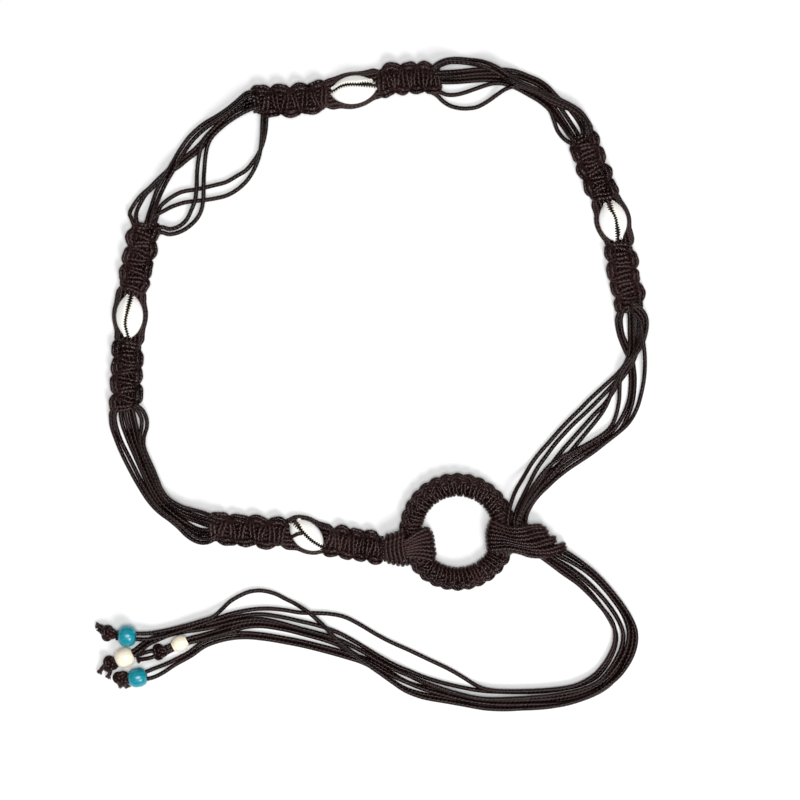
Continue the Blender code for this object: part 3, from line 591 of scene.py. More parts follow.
LEFT_TOP = {
    "left_top_cord_1": (
        ((134.5, 226), (132, 219), (130, 213.5), (134, 205), (141, 195.7), (150, 187.7), (160, 177.6),
         (170, 168.5), (177.6, 163.7), (184, 158), (193.6, 150.4), (201, 143), (207, 135.5), (214, 128.5),
         (222, 121.5), (235, 112), (248, 106.8), (258, 105)),
        ((138.5, 227), (136.5, 218), (137.3, 211), (140.5, 204), (146, 195), (153, 188), (162.5, 179.3),
         (173, 171), (180, 166.3), (187, 160.3), (196.5, 153), (204, 145.5), (211, 137), (218, 130),
         (227, 123), (239, 115.5), (250, 110), (259, 107.5))),
    "left_top_cord_2": (
        ((153, 231), (157.5, 216), (160, 207.5), (167, 200.5), (175.5, 195), (184, 191.5), (199, 189),
         (216, 185), (226.7, 182), (237, 176), (246, 170.5), (252.5, 163), (259, 153), (263.4, 142),
         (265.8, 130), (266.8, 118), (268.5, 108)),),
    "left_top_cord_3": (
        ((149, 230), (155.5, 217), (164, 211.3), (173, 206.5), (184, 202.8), (195, 201.2), (205, 200.2),
         (216, 198.4), (226.7, 195.7), (237, 190), (246, 182), (252, 173.5), (256.8, 164), (260, 154),
         (261.8, 140), (262.7, 120), (264, 108)),),
    "left_top_cord_4": (
        ((155, 236), (161.5, 232.5), (169, 234.5), (178.7, 232.5), (188, 227.5), (197, 218.8), (202, 209),
         (203.8, 197), (203.9, 184.5), (204.4, 171), (205.6, 157), (208, 146), (212, 138), (219, 130.5),
         (230, 121.5), (241, 115), (252, 110), (260, 108)),),
    "left_top_cord_5": (
        ((155, 231), (162, 227.3), (170, 229.3), (178.5, 226.8), (186.5, 220), (192.2, 209), (195.5, 200),
         (197, 187), (197.3, 171), (199.7, 155), (202.5, 145), (206.5, 138), (212, 131.5), (221, 122.5),
         (234, 111.5), (248, 103), (258, 101)),),
    "left_top_cord_6": (
        ((145.5, 229), (148.3, 218), (152, 205), (157.3, 191), (162.7, 181), (168, 172), (173.3, 162.5),
         (178, 153.5), (183.4, 145), (189.6, 136.8), (197, 129.5), (205, 123.2), (216, 116.8),
         (226.7, 109.7), (235, 103), (242.7, 96.4), (249.5, 92.5), (258, 95)),
        ((149.5, 229), (152.6, 219), (156.5, 206.5), (161.3, 193.5), (166.3, 183.5), (171.7, 174.5),
         (177, 165.5), (182, 156.5), (187.3, 148), (193.3, 140), (200.2, 133), (208, 127), (218.5, 120.7),
         (229, 113.5), (238, 106.6), (245.3, 100.3), (250.5, 97), (259, 98.5))),
}
TOP_RIGHT = {
    "top_right_cord_1": (
        ((433, 79), (443, 79.5), (456, 78.9), (470, 77.6), (484, 76.6), (498, 76.8), (510, 79), (521, 83),
         (532, 89), (542, 95.5), (550, 103), (556, 110), (561, 117), (566, 125), (571, 133.5), (575, 140)),
        ((433, 81.5), (443, 83), (456, 82.6), (470, 81.4), (484, 80.4), (498, 81), (510, 83.5), (521, 88),
         (531, 94), (540, 100), (548, 107), (554, 114.5), (559.5, 122.5), (564.5, 130), (569.5, 137),
         (576, 143))),
    "top_right_cord_2": (
        ((433, 77), (443, 77.3), (456, 76.3), (470, 74.6), (484, 73.4), (498, 73), (510, 75), (520, 77.3),
         (529.5, 81), (538.5, 85.3), (546.5, 91.5), (553.5, 98.8), (558.5, 105), (563, 111.7),
         (567.7, 118.5), (572.5, 126), (577, 133.5), (580, 141)),
        ((433, 74.5), (443, 73.3), (456, 72.2), (470, 70.6), (484, 69.6), (491, 69.6), (512, 70.9),
         (521, 73.2), (530, 76.9), (539, 80.7), (547.5, 87), (555, 94.9), (561, 101), (567, 107),
         (572.5, 113.5), (577.5, 120.5), (581.5, 128), (584, 139))),
    "top_right_cord_3": (
        ((431, 88), (440, 92.5), (447, 95), (455, 95), (464, 93), (475, 89.2), (486, 85.6), (496, 83.6),
         (506, 84.8), (517, 89), (529, 95.6), (540, 102.3), (549.5, 110.8), (553.8, 121), (557.5, 131),
         (564, 139.5), (571, 144)),),
    "top_right_cord_4": (
        ((430, 92), (437, 96), (442.5, 101.3), (450, 105.9), (459.5, 108.4), (468.5, 108.6), (477.6, 107),
         (487, 102), (496, 95.8), (505, 90), (516, 86.8), (527, 89.3), (539, 96), (549.5, 102.7),
         (560, 106.8), (571, 110.2), (580.5, 114.8), (587.5, 121), (591, 129), (589, 139)),),
    "top_right_cord_5": (
        ((431, 70), (436.5, 64.8), (444, 60.7), (451, 59.2), (459, 59), (470, 60), (480, 61.5), (490, 65),
         (498, 69), (505, 74), (513, 79), (522, 83.8), (533, 88.6), (545, 93.7), (557, 99), (568, 104.3),
         (578, 110.5), (584.8, 117.7), (588.5, 126), (588, 137)),
        ((432, 72.5), (440, 67), (449, 63.5), (460, 63), (470, 64.2), (480, 66.6), (489, 69.8), (498, 74.3),
         (507, 80.3), (517, 85.5), (528, 90), (540, 95.2), (551, 100.6), (562, 105.4), (572, 111),
         (579.5, 117), (584, 124.5), (585.5, 132), (584, 141))),
}
RIGHT_RING = {
    "right_ring_cord_1": (
        ((622, 304), (618.6, 313), (616.6, 319), (617.3, 327), (619, 335), (621.8, 343), (625, 350.5),
         (628.5, 358), (630, 366), (630.5, 375), (630.4, 386), (629, 398.5), (626, 408.5), (622, 417),
         (617, 425), (611, 431.8), (602, 437.6), (588, 445.7), (572, 455), (558, 465), (546, 476.5),
         (537, 487), (529.5, 497), (523.7, 506), (519.7, 515), (518, 524), (521, 534), (529, 543)),
        ((624, 305), (621.6, 314), (620.4, 320), (621.2, 328), (623, 336), (626, 343.5), (629.3, 351),
         (632.4, 359.5), (633.7, 368), (634.6, 377), (634.4, 387), (633, 399.5), (630, 410.3), (625.7, 420),
         (621.2, 428.4), (613.6, 435.3), (604.3, 441.3), (590.3, 449.3), (575, 458.5), (561, 468.5),
         (550, 479), (541.3, 489), (533.5, 498.5), (527.7, 507), (523.7, 515.5), (522.3, 524), (525, 534),
         (532, 542))),
    "right_ring_cord_2": (
        ((627, 305), (629, 316), (629.5, 330), (629.7, 343), (628.3, 355), (624, 365.5), (616, 375),
         (604, 386), (590, 399), (580, 409.2), (570, 419), (560, 429.5), (550, 441), (542, 450),
         (535.5, 458), (530.2, 465.5), (525.8, 472.7), (521.3, 480), (516.7, 487.5), (512.7, 496),
         (509.8, 505), (508, 514), (507.5, 523), (511, 532), (518, 540)),
        ((630, 305), (633, 316), (633.5, 330), (633.7, 343), (632.4, 356), (627.5, 368), (618.5, 378.6),
         (607, 391), (595, 403.5), (584, 414.2), (573, 424.5), (563, 435), (553.5, 446), (546, 456),
         (540, 464), (535, 472), (529, 483.5), (523.5, 494), (518.5, 503.5), (515, 513), (513.6, 523),
         (517, 532), (523, 540))),
    "right_ring_cord_3": (
        ((631, 305), (637, 316), (637.6, 330), (637.6, 343), (635, 356), (629, 368), (620.5, 380),
         (611, 395), (603, 405.5), (594, 414.5), (586, 423.5), (578, 432.5), (570, 441.5), (562, 450.5),
         (554.5, 460), (548, 469), (539.5, 482), (531.5, 493.5), (525.5, 503), (521, 512.5), (519, 523),
         (522, 533), (529, 541)),
        ((631.5, 306), (640.6, 316), (642.5, 322), (642, 331), (639.5, 341), (634.5, 352), (628, 363),
         (619.5, 376), (612.5, 389), (607.5, 402), (602, 412.5), (595, 422), (587.5, 431), (580, 440),
         (572.5, 449), (565, 457.5), (558, 466.5), (550, 476), (541, 486), (533, 496), (526.5, 505),
         (521.8, 514), (520.2, 524), (524, 533), (531, 541))),
    "right_ring_cord_4": (
        ((630, 303), (641, 311), (645, 318), (645.7, 327), (644, 336.5), (641, 345), (635.5, 353.5),
         (629.5, 361), (624, 368.5), (619.7, 378), (619, 388), (619, 397), (618, 406), (615.7, 416),
         (611.7, 425), (605.5, 432.3), (596.5, 438.5), (586, 444.7), (574, 450.7), (562, 456.5), (551, 464),
         (541.5, 474.5), (533.5, 485.5), (527, 496), (521.5, 506), (517.7, 515.5), (516.2, 525), (519, 534),
         (526, 542)),),
    "right_ring_cord_5": (
        ((632, 312), (639.5, 321), (641, 334), (642.5, 345), (643.7, 355), (644.2, 366), (643.8, 377),
         (642.5, 387), (640.3, 397), (637.3, 407), (632.7, 416.5), (626.7, 424.6), (619, 431.6),
         (610.5, 438.3), (601, 445.8), (591.5, 453.3), (580, 461), (568.5, 468.7), (556.5, 478),
         (547.3, 486.5), (539.5, 494), (533, 502), (528.3, 510), (525.7, 518), (526, 527), (530, 535),
         (537, 542)),),
}
BOTTOM_LEFT = {
    "bottom_left_cord_1": (
        ((129.5, 405), (130, 414), (132.5, 426), (136, 440), (140.7, 452), (145.2, 464), (150.2, 476),
         (155.7, 488), (162, 498.7), (169, 506.2), (177.5, 512.5), (187, 518), (197, 521.5), (207, 524.8),
         (216, 526)),
        ((132.5, 405), (134.2, 414), (136.8, 427), (139.8, 441), (143.8, 453), (148.8, 465.5), (153.9, 478),
         (159.2, 489), (165.5, 499.2), (172.5, 506.5), (181, 512.5), (190.5, 516.7), (199, 519.7),
         (208, 522), (217, 524))),
    "bottom_left_cord_2": (
        ((122.5, 405), (121.2, 414), (122.5, 424), (125.5, 433), (129, 442), (132.5, 450), (136, 458),
         (140, 467), (144, 476), (148, 485), (152, 493), (157, 501), (163, 508.5), (170, 515), (178, 521),
         (186, 527), (194.5, 532), (202, 533.8), (210, 533.5), (218, 532)),
        ((125.5, 405), (125.4, 414), (128, 426), (132, 439), (136, 450), (140, 461), (145, 472), (150, 483),
         (156, 494), (162, 502.5), (169, 509.5), (177, 516), (185, 521.5), (193, 526.5), (200, 529.2),
         (208, 530), (217, 529.5))),
    "bottom_left_cord_3": (
        ((118, 404), (112, 411.5), (111.2, 420), (112.3, 428), (115, 436), (118, 444), (121.4, 452),
         (125.2, 460), (129.3, 468), (134, 477), (139.5, 486.5), (146, 497), (153, 506), (161, 513.5),
         (169.5, 519.5), (178, 526.7), (186, 534.8), (194.5, 540.6), (203, 542.8), (211, 541), (218, 536)),
        ((119.5, 405), (116, 412.5), (115.5, 420), (117, 428), (119.4, 436), (122.4, 443.3), (126, 450.7),
         (129.7, 458), (133.7, 466), (138.2, 475), (143.7, 485), (150.2, 495.8), (157, 504.8), (165, 512),
         (173.5, 518), (182, 525), (190, 532.2), (197.5, 536.7), (205, 538.2), (213, 537), (219, 533))),
    "bottom_left_cord_4": (
        ((134, 405), (139, 411.5), (142.2, 419), (142, 428), (140.6, 437), (142, 447), (146, 458),
         (151, 469), (156, 480), (160, 490), (166, 499), (173, 505), (181.5, 509.7), (190.5, 513),
         (199.5, 516), (209, 518.5), (217, 521)),
        ((136, 404), (143.5, 410), (147.3, 418), (147.5, 427), (144.8, 437), (145, 447), (148.9, 457.5),
         (154, 468.5), (158.3, 479), (162.3, 489), (168.3, 497.3), (176, 502.8), (184.5, 507),
         (193.5, 509.5), (201, 511.3), (209, 514), (217, 518))),
}
AT_BAND, AT_KNOT = 3.0, 1.0
for group in (LEFT_TOP, TOP_RIGHT, RIGHT_RING, BOTTOM_LEFT):
    owners = [node for node, routes in group.items() for _ in routes]
    routes = [flat_line(marks) for routes in group.values() for marks in routes]
    if group is RIGHT_RING:
        laid = into_knot = lay_down(routes, both(ends_up(AT_BAND, AT_KNOT), over_ring), gap=-0.3)
    else:
        laid = lay_down(routes, ends_up(AT_BAND, AT_BAND))
    for node in group:
        own = [line for owner, line in zip(owners, laid) if owner == node]
        add_cords(node.replace("_cord_", "_strand_"), own, (node,), sides=12, finish=shaded_loose_cord)

# %% [markdown]
# ## The tail
# Eight cords leave the knot, sweep round in one loose bundle and part again towards the beads, two cords to
# a bead. Each is a free cord of its own real length with a knot at its end. Cords that run as
# a pair share one route and keep beside each other, with a spacing that changes slowly along the way.

# %% Tail routes
TAIL = {
    "tail_cord_1": (
        (544, 549.5), (558, 558), (573.5, 566.7), (588, 577.5), (601, 590.5), (613, 605), (622, 620),
        (626, 634), (624.5, 648), (619.5, 660), (611.5, 673), (600, 685), (585, 692.5), (568, 697),
        (545, 700.5), (525, 702.5), (500, 703.5), (480, 702), (460, 697.5), (440, 693.5), (420, 689.5),
        (405, 684.5), (390, 675.5), (378, 667.5), (363, 660), (345, 654.5), (325, 649), (305, 644),
        (285, 640), (265, 636.7), (245, 635), (225, 637), (205, 643.5), (190, 654), (177, 661),
        (163, 668.5), (150, 673.8), (137.5, 677), (125, 679.5)),
    "tail_cord_2": (
        (549, 546.5), (562.8, 554.5), (578.5, 563.5), (593, 574), (606, 587.5), (618, 603), (627, 617),
        (630.5, 630), (629.5, 644), (625, 657), (618, 669), (607.5, 681.5), (592, 691), (575, 697),
        (552, 700.5), (530, 701.5), (500, 702), (478, 700), (458, 696), (440, 691), (420, 684),
        (402, 676), (388, 669), (372, 660), (357, 651.5), (342, 644), (325, 638), (305, 632.5),
        (285, 627.5), (262, 624), (245, 625), (230, 629), (215, 633.5), (200, 637.5), (190, 640),
        (180, 644), (170, 648.5), (165, 651)),
    "tail_cord_3": (
        (540, 551.5), (552.9, 560.3), (568.5, 570.5), (582.5, 581.5), (595.5, 594.5), (607, 609),
        (615.5, 623), (619.5, 634), (618, 647), (613, 658.5), (606, 669.5), (597, 679), (583, 686),
        (567, 690), (548, 693), (525, 694.5), (500, 695), (480, 694), (462, 690.5), (445, 686),
        (425, 679.5), (408, 672.5), (395, 667), (380, 659), (365, 650), (350, 641.5), (335, 634.5),
        (318, 629), (300, 624.5), (280, 619.5), (262, 616.5), (245, 617.5), (230, 620.5), (215, 624.5),
        (200, 627.5), (185, 629.5), (171, 632.5), (159, 637), (149, 641.5), (141, 647.5), (134, 652.6),
        (124.5, 657.5), (116, 661.5)),
    "tail_cord_4": (
        (535, 552.5), (547.6, 561.6), (563, 573.2), (577, 583), (589.5, 594.5), (601, 607), (610.5, 619),
        (614.5, 630), (614, 643), (609.5, 654.5), (602.5, 665.5), (593.5, 675), (580, 683), (565, 687.3),
        (545, 689.5), (525, 690.5), (500, 690.5), (485, 688.5), (475, 684.5), (462, 676.5), (448, 668.5),
        (430, 660), (410, 650.5), (390, 641.5), (375, 633.5), (360, 624.5), (345, 617), (330, 613.8),
        (315, 613), (300, 612.5), (285, 610), (270, 608.5), (255, 609), (240, 611.5), (228, 614.5),
        (215, 619), (200, 624.5), (183, 630), (165, 635.5), (150, 638.6), (138, 638.4), (127, 638),
        (116.5, 637.5)),
    "tail_cord_5": (
        (555, 545), (568, 552.8), (582, 562.5), (597, 575.5), (610, 589.5), (622, 604.5), (631, 619),
        (635.5, 631), (635.5, 643), (632, 655), (626, 666), (617, 677), (605, 686), (593, 693.5),
        (580, 699), (564, 703.5), (545, 706.5), (525, 708), (505, 709), (485, 708), (465, 704.5),
        (445, 701), (430, 698.5), (418, 695.5), (405, 690), (393, 682), (380, 672.5), (368, 664),
        (356, 655), (344, 645), (334, 636), (326, 627.5), (318, 620), (308, 611.5), (296, 604),
        (285, 598.5), (275, 593.5), (262, 590.5), (250, 591.5), (240, 595.5), (230, 601.5), (222, 609),
        (213, 616.5), (201, 620.5), (186, 625), (168, 629.5), (151, 632.6), (138, 632.8), (127, 633),
        (116.5, 632.5)),
}
BEADS = {
    "turquoise_bead_1": dict(at=(128, 635), to=(118, 634.7), radius=5.4, length=8.8,
                             cords=("tail_cord_4", "tail_cord_5")),
    "natural_bead_1": dict(at=(125.3, 656.6), to=(116.8, 660.6), radius=4.9, length=9.2,
                           cords=("tail_cord_3",)),
    "turquoise_bead_2": dict(at=(138.4, 676.6), to=(126, 679.1), radius=4.9, length=9.2,
                             cords=("tail_cord_1",)),
    "natural_bead_2": dict(at=(180.3, 642.6), to=(170.8, 647), radius=3.8, length=7.9,
                           cords=("tail_cord_2",)),
}
bead_of = {cord: bead for bead in BEADS.values() for cord in bead["cords"]}


def beside(line, offset):
    """The line moved sideways by an offset at each point."""
    ahead = unit(np.gradient(line, axis=0))
    return line + np.stack([-ahead[:, 1], ahead[:, 0]], axis=1) * np.asarray(offset)[:, None]


def bead_heart(bead):
    """Middle of a bead that lies on the table."""
    return spot(bead["at"], bead["radius"] + 0.05)


def bead_floor(bead):
    """Cords climb to the bore of their bead and stay there for the bead's length."""
    def floor(line, run):
        at = spot(bead["at"])[:2]
        axis = unit(spot(bead["to"])[:2] - at)
        away = np.linalg.norm(line - at, axis=1)
        past = ((line - at) @ axis > 0) & (away < 9.0)
        bore = bead_heart(bead)[2]
        return np.where(past, bore, bore - RAMP * np.maximum(0, away - bead["length"] / 2 - 0.6))
    return floor


SINGLE_CORDS = ("tail_cord_4", "tail_cord_5")
tail_routes, tail_names, tail_floors = [], [], []
for k, (node, marks) in enumerate(TAIL.items()):
    middle = flat_line(marks)
    offsets = [np.zeros(len(middle))]
    if node not in SINGLE_CORDS:
        share = np.linspace(0, 1, len(middle))
        calm = np.clip(np.minimum(share / 0.06, (0.90 - share) / 0.10), 0, 1)
        wave = 0.5 + 0.5 * np.sin(share * (15 + 4 * k) + 2.2 * k)
        apart = 1.03 + calm * (0.75 * wave ** 2)
        if node == "tail_cord_1":
            apart = apart + 0.95 * np.exp(-((share - 0.955) / 0.022) ** 2)
        offsets = [apart, -apart]
    for n, offset in enumerate(offsets):
        tail_routes.append(beside(middle, offset))
        tail_names.append((node, n))
        tail_floors.append(bead_floor(bead_of[node]))
tail_lines = lay_down(tail_routes, tail_floors, spacing=1.4)
print("tail cords of", [round(line_length(line)) for line in tail_lines], "mm")

for (node, n), line in zip(tail_names, tail_lines):
    add_cords(f"{node.replace('_cord_', '_strand_')}_{'ab'[n]}", [line], (node,),
                                       sides=12, finish=shaded_loose_cord)

# %% [markdown]
# ## Cowrie shells
# A cowrie is an egg-shaped dome with a long wavy mouth between two toothed lips. The back is cut away, so
# cords can pass under it. A sphere squashed in one direction has no lips, so the dome is a round grid
# of points whose height comes from a formula: the dome itself, a pit along the mouth with toothed
# edges, and a soft lip on each side. No two mouths are alike, so each runs through its own marks, and
# each mark says how wide the mouth is there.

# %% Shell finish


def shell_finish():
    """Cream enamel: the first coordinate gives a cream tint by the mouth and painted shade inside the
    mouth; the second is the reach.
    """
    finish = Finish("cowrie_enamel")
    mouth_shade_and_cream, reach = finish.coordinates("shell")
    cloud = finish.noise(finish.own_space(), 260.0, 3.0)
    warm = finish.maths("MULTIPLY", finish.spread(reach, 0.72, 1.0, 0.0, 0.6), cloud)
    body = finish.blend(warm, (0.97, 0.96, 0.94), (0.80, 0.70, 0.55))
    patch = finish.maths("MULTIPLY", finish.spread(mouth_shade_and_cream, 0.02, 0.3, 0.0, 1.2), cloud)
    creamy = finish.blend(patch, body, (0.96, 0.90, 0.74))
    # Painted shade: the mouth's pit is coloured near black, as the shade inside it.
    painted_mouth_shade = finish.blend(finish.spread(mouth_shade_and_cream, 0.66, 0.92, 0.0, 1.0), (0.075, 0.045, 0.03),
                          (0.004, 0.002, 0.0015))
    return finish.set(
        Base_Color=finish.blend(finish.spread(mouth_shade_and_cream, 0.36, 0.60, 0.0, 1.0), creamy, painted_mouth_shade),
        Roughness=finish.spread(mouth_shade_and_cream, 0.36, 0.60, 0.2, 0.95),
        Specular_IOR_Level=0.35, Subsurface_Weight=0.2, Subsurface_Radius=(0.0024, 0.0020, 0.0015),
        Normal=finish.bump(cloud, 0.00005, 0.35))


enamel = shell_finish()

# %% Shell shape


TOOTH_PITCH = 1.25
PIT_DEPTH = 2.2
SHELL_GRID = (133, 221)


def face_out(mesh, heart):
    """Turns the faces over if they look at the heart of the piece instead of away from it."""
    heart = Vector(heart) * MM
    if sum(face.area * face.normal.dot(face.center - heart) for face in mesh.polygons) < 0:
        mesh.flip_normals()
    return mesh


def shell_mesh(name, band, track):
    """Domed shell with its mouth on top and its rim open below."""
    across_count, along_count = SHELL_GRID
    s, t = np.meshgrid(np.linspace(-1, 1, across_count), np.linspace(-1, 1, along_count), indexing="ij")
    x = s * np.sqrt(1 - t * t / 2)
    y = t * np.sqrt(1 - s * s / 2)
    reach = np.clip(np.hypot(x, y), 1e-6, 1)
    bend = np.sin(reach * math.pi / 2) / reach
    u, v = x * bend, y * bend
    dome = np.cos(reach * math.pi / 2) ** 0.82
    half_wide, half_long = band["width"] / 2, band["length"] / 2
    px, py = u * half_wide * (1 - 0.15 * v * v), v * half_long
    at = spot(band["shell"])
    angle = math.atan2(track.shell_ahead[1], track.shell_ahead[0]) + track.turn
    axis = np.array([math.cos(angle), math.sin(angle)])
    wide = np.array([-axis[1], axis[0]])
    marks = smooth_line([spot(m[:2], m[2]) for m in band["mouth"]], 0.3) - (at[0], at[1], 0.0)
    marks = marks[np.argsort(marks[:, :2] @ axis)]
    run = marks[:, :2] @ axis
    off = px - np.interp(py, run, marks[:, :2] @ wide)
    tooth = 0.5 + 0.5 * np.tanh(2.0 * np.sin(py * 2 * math.pi / TOOTH_PITCH + np.sign(off) * 1.1))
    half_gape = np.interp(py, run, marks[:, 2])
    gape = half_gape * (0.62 + 0.75 * tooth) + 0.06 + 0.22 * tooth
    inside = 1 / (1 + np.exp((np.abs(off) - gape) / 0.05))
    lip = np.exp(-((np.abs(off) - half_gape - 1.0) / 0.9) ** 2)
    grooves = (tooth - 0.5) * np.exp(-((np.abs(off) - half_gape - 0.4) / 0.6) ** 2)
    saddle = 0.5 * np.exp(-(off / 1.7) ** 2)
    fade = np.clip(1 - reach ** 6, 0, 1)
    z = SHELL_RIM + SHELL_HEIGHT * dome * 0.97 - PIT_DEPTH * inside
    z = z + fade * (0.25 * lip - 0.2 * grooves - saddle)
    z = np.clip(z, SHELL_RIM, SHELL_RIM + SHELL_HEIGHT)
    # Painted shade in the mouth: the pit gets a dark colour, a little lighter where the mouth gapes wide.
    dark = inside * (1 - 0.32 * np.clip((half_gape - 0.85) / 0.35, 0, 1))
    cream = 0.3 * np.exp(-((np.abs(off) - 2.2) / 1.6) ** 2) * (1 - reach ** 2)
    flat = at[:2] + py[..., None] * axis + px[..., None] * wide
    places = np.concatenate([flat, z[..., None]], axis=2)
    i, j = np.meshgrid(np.arange(across_count - 1), np.arange(along_count - 1), indexing="ij")
    a = (i * along_count + j).ravel()
    faces = np.stack([a, a + 1, a + along_count + 1, a + along_count], axis=1)
    tones = np.stack([np.maximum(dark, cream).ravel(), reach.ravel()], axis=1)
    mesh = mesh_of(name, places.reshape(-1, 3), faces.tolist(), "shell", tones[faces.ravel()].ravel())
    return face_out(mesh, at)


for name, band in BANDS.items():
    shell = add_piece(f"{name}_cowrie", shell_mesh(f"{name}_cowrie", band, tracks[name]), enamel,
                      (f"{name}_shell",))
    wall = shell.modifiers.new("wall", "SOLIDIFY")
    wall.thickness = 1.1 * MM
    wall.offset = -1.0
    print(shell.name, len(shell.data.polygons), "faces")

# %% [markdown]
# ## The wrapped ring
# A stiff ring is covered with cord: each turn goes round the ring's limb and is caught under a plait
# that runs along the outer rim. A torus with stripes would look printed, so the turns are real closed
# loops round the limb's oval section, and the plait has three strands of two cords, bent into a circle.

# %% Turns round the ring


def on_ring(radius, angle, up):
    return np.stack([RING_HEART[0] + radius * np.cos(angle), RING_HEART[1] + radius * np.sin(angle),
                     np.broadcast_to(up, np.shape(angle))], axis=-1)


def limb_loop(angle, lean, swell, around=28):
    """One turn of cord round the limb at an angle of the ring."""
    t = np.linspace(0, 2 * math.pi, around, endpoint=False)
    out = (LIMB_REACH + swell) * power(np.cos(t), 0.85)
    up = LIMB_HEIGHT + (LIMB_RISE + swell) * power(np.sin(t), 0.82)
    turn = angle + lean * (np.sin(t) + 0.8 * np.cos(t)) / LIMB_RADIUS
    return on_ring(LIMB_RADIUS + out, turn, np.maximum(up, 0.98))


RING_TURNS = 64
rng = np.random.default_rng(7)
loops = []
for k in range(RING_TURNS):
    angle = 2 * math.pi * (k + 0.16 * rng.uniform(-1, 1)) / RING_TURNS
    loops.append(limb_loop(angle, 0.5 + 0.45 * rng.uniform(-1, 1), 0.10 * rng.uniform(-1, 1)))
add_cords("ring_wraps", loops, ("ring",), sides=8, closed=True, radius=0.95)
heart_line = on_ring(LIMB_RADIUS, np.linspace(0, 2 * math.pi, 96, endpoint=False), LIMB_HEIGHT)
add_cords("ring_core", [heart_line], ("ring",), sides=16, closed=True, radius=2.9)

# %% Plait along the rim
PLAIT_TURNS = 10
PLAIT_TILT = math.radians(33)
PLAIT_SWAY, PLAIT_BOB, PAIR_HALF = 1.55, 0.95, 0.86
rim = np.linspace(0, 2 * math.pi, 900, endpoint=False)
plait = []
for strand in range(3):
    phase = PLAIT_TURNS * rim + strand * 2 * math.pi / 3
    bob = PLAIT_BOB * np.sin(2 * phase)
    slope = np.arctan2(PLAIT_SWAY * PLAIT_TURNS / RIM_RADIUS * np.cos(phase), 1.0)
    loose = 0.12 * np.sin(7 * rim + 2.1 * strand)
    for way in (PAIR_HALF, -PAIR_HALF):
        across = PLAIT_SWAY * np.sin(phase) + way * np.cos(slope)
        out = across * math.cos(PLAIT_TILT) + bob * math.sin(PLAIT_TILT) + loose
        up = bob * math.cos(PLAIT_TILT) - across * math.sin(PLAIT_TILT)
        plait.append(on_ring(RIM_RADIUS + out, rim - way * np.sin(slope) / RIM_RADIUS, RIM_HEIGHT + up))
add_cords("ring_rim_plait", plait, ("ring",), sides=8, closed=True, radius=0.9)

# %% [markdown]
# ## Cords over the ring's left side
# The cords of the bottom band fold over the limb and draw together where a few turns bind them. Each
# fold is a line seen from above; the same rule that laid the loose cords gives it its height over
# the ring, and its inner end bends down round the limb. Short cords below them are the way back, so
# that the binding has something to hold from the side as well.

# %% Hitch
FOLDS = (
    ((382, 541), (392, 541.5), (400, 541.8), (406, 539.8), (411, 536.6), (417, 532.5), (425.6, 528.5)),
    ((382, 544), (392, 544), (400, 544), (406.5, 542.2), (412, 539), (418.5, 535.8), (428.3, 532.4)),
    ((382, 547), (392, 546.5), (400, 546), (408, 544.2), (414, 541), (420.5, 538.5), (429.6, 536.4)),
    ((382, 550), (392, 549), (400, 548), (407.5, 546), (414.5, 543.6), (421.5, 541.7), (430.4, 540.8)),
    ((382, 553), (392, 551.5), (400, 550), (408, 548), (415, 546.4), (422.5, 545.5), (431, 545.3)),
    ((382, 555.5), (392, 554), (400, 552), (408, 550.5), (415, 549.2), (422.5, 549), (432, 550.4)),
    ((383, 557.5), (392, 556.5), (400, 554.5), (408.5, 553), (415.5, 552.3), (423, 552.8), (432.6, 554.8)),
    ((384, 559), (393, 559), (401, 557), (409.5, 555.8), (416, 555.8), (423, 556.7), (431.8, 559)),
)


def round_inner_limb(line, low=1.3):
    """Carries the end of a line over the inner side of the limb and down."""
    end = line[-1]
    radius = np.linalg.norm(end[:2] - RING_HEART[:2])
    angle = math.atan2(*(end[:2] - RING_HEART[:2])[::-1])
    marks = [line[-4], end] + [on_ring(np.array(r), np.array(angle), z) for r, z in
                               ((radius - 1.15, end[2] - 1.5), (radius - 1.35, end[2] - 3.6),
                                (radius - 1.1, end[2] - 5.7), (radius + 0.6, low))]
    return np.vstack([line[:-4], smooth_line(marks, 0.7)])


FOLD_SPACING = 0.9
folds = lay_down([flat_line(m) for m in FOLDS], both(over_ring, ends_up(4.2, 1.0, ramp=0.02)), FOLD_SPACING,
                 gap=-1.05)
hitch = [round_inner_limb(line) for line in folds]
way_back = [smooth_line([spot((x, y), height) for x in (382, 391, 401)], 0.8)
            for height in (1.1, 3.1) for y in (541, 545, 549, 553, 557)]
add_cords("ring_hitch_cords", hitch + way_back, ("ring_hitch",), sides=12)

# %% Binding
TURNS_OF_BINDING = (
    ((387.4, 536.5), (386.2, 541), (386.0, 548), (387.2, 555), (389, 560)),
    ((391.8, 535.5), (390.4, 540.5), (390.2, 548), (391.4, 555), (393.4, 561)),
    ((396.4, 534), (394.7, 539.5), (394.4, 547.5), (395.6, 555), (398, 562)),
    ((400.4, 532), (398.8, 538), (398.6, 547), (400, 555), (402.6, 562.5)),
    ((403.6, 530.8), (402.6, 537), (402.6, 546), (404.2, 555), (407, 561.5)),
)


def level(height):
    return lambda line, run: np.full(len(line), height)


turns = lay_down([flat_line(m) for m in TURNS_OF_BINDING], both(level(5.6), over_ring), FOLD_SPACING,
                 gap=-0.5, under=hitch)
binding = []
for line in turns:
    first, last = line[0], line[-1]
    start = [first + (0.1, -0.2, -4.0), first + (-0.1, 0.9, -2.2)]
    stop = [last + (0.1, -0.9, -2.2), last + (0.1, 0.2, -4.0)]
    binding.append(smooth_line([*start, *line[1:-1:2], *stop], 0.8))
add_cords("ring_binding_turns", binding, ("ring_binding", "ring_hitch"), sides=12)

# %% [markdown]
# ## The knot at the ring's right side
# The belt's other end folds over the right side of the ring in a flat bundle. It runs over the incoming
# cords, turns down at its end and goes back under them. So there are two layers: folds that lie
# over the knot with rounded ends, and under them the eight cords that enter on top and leave as the tail.

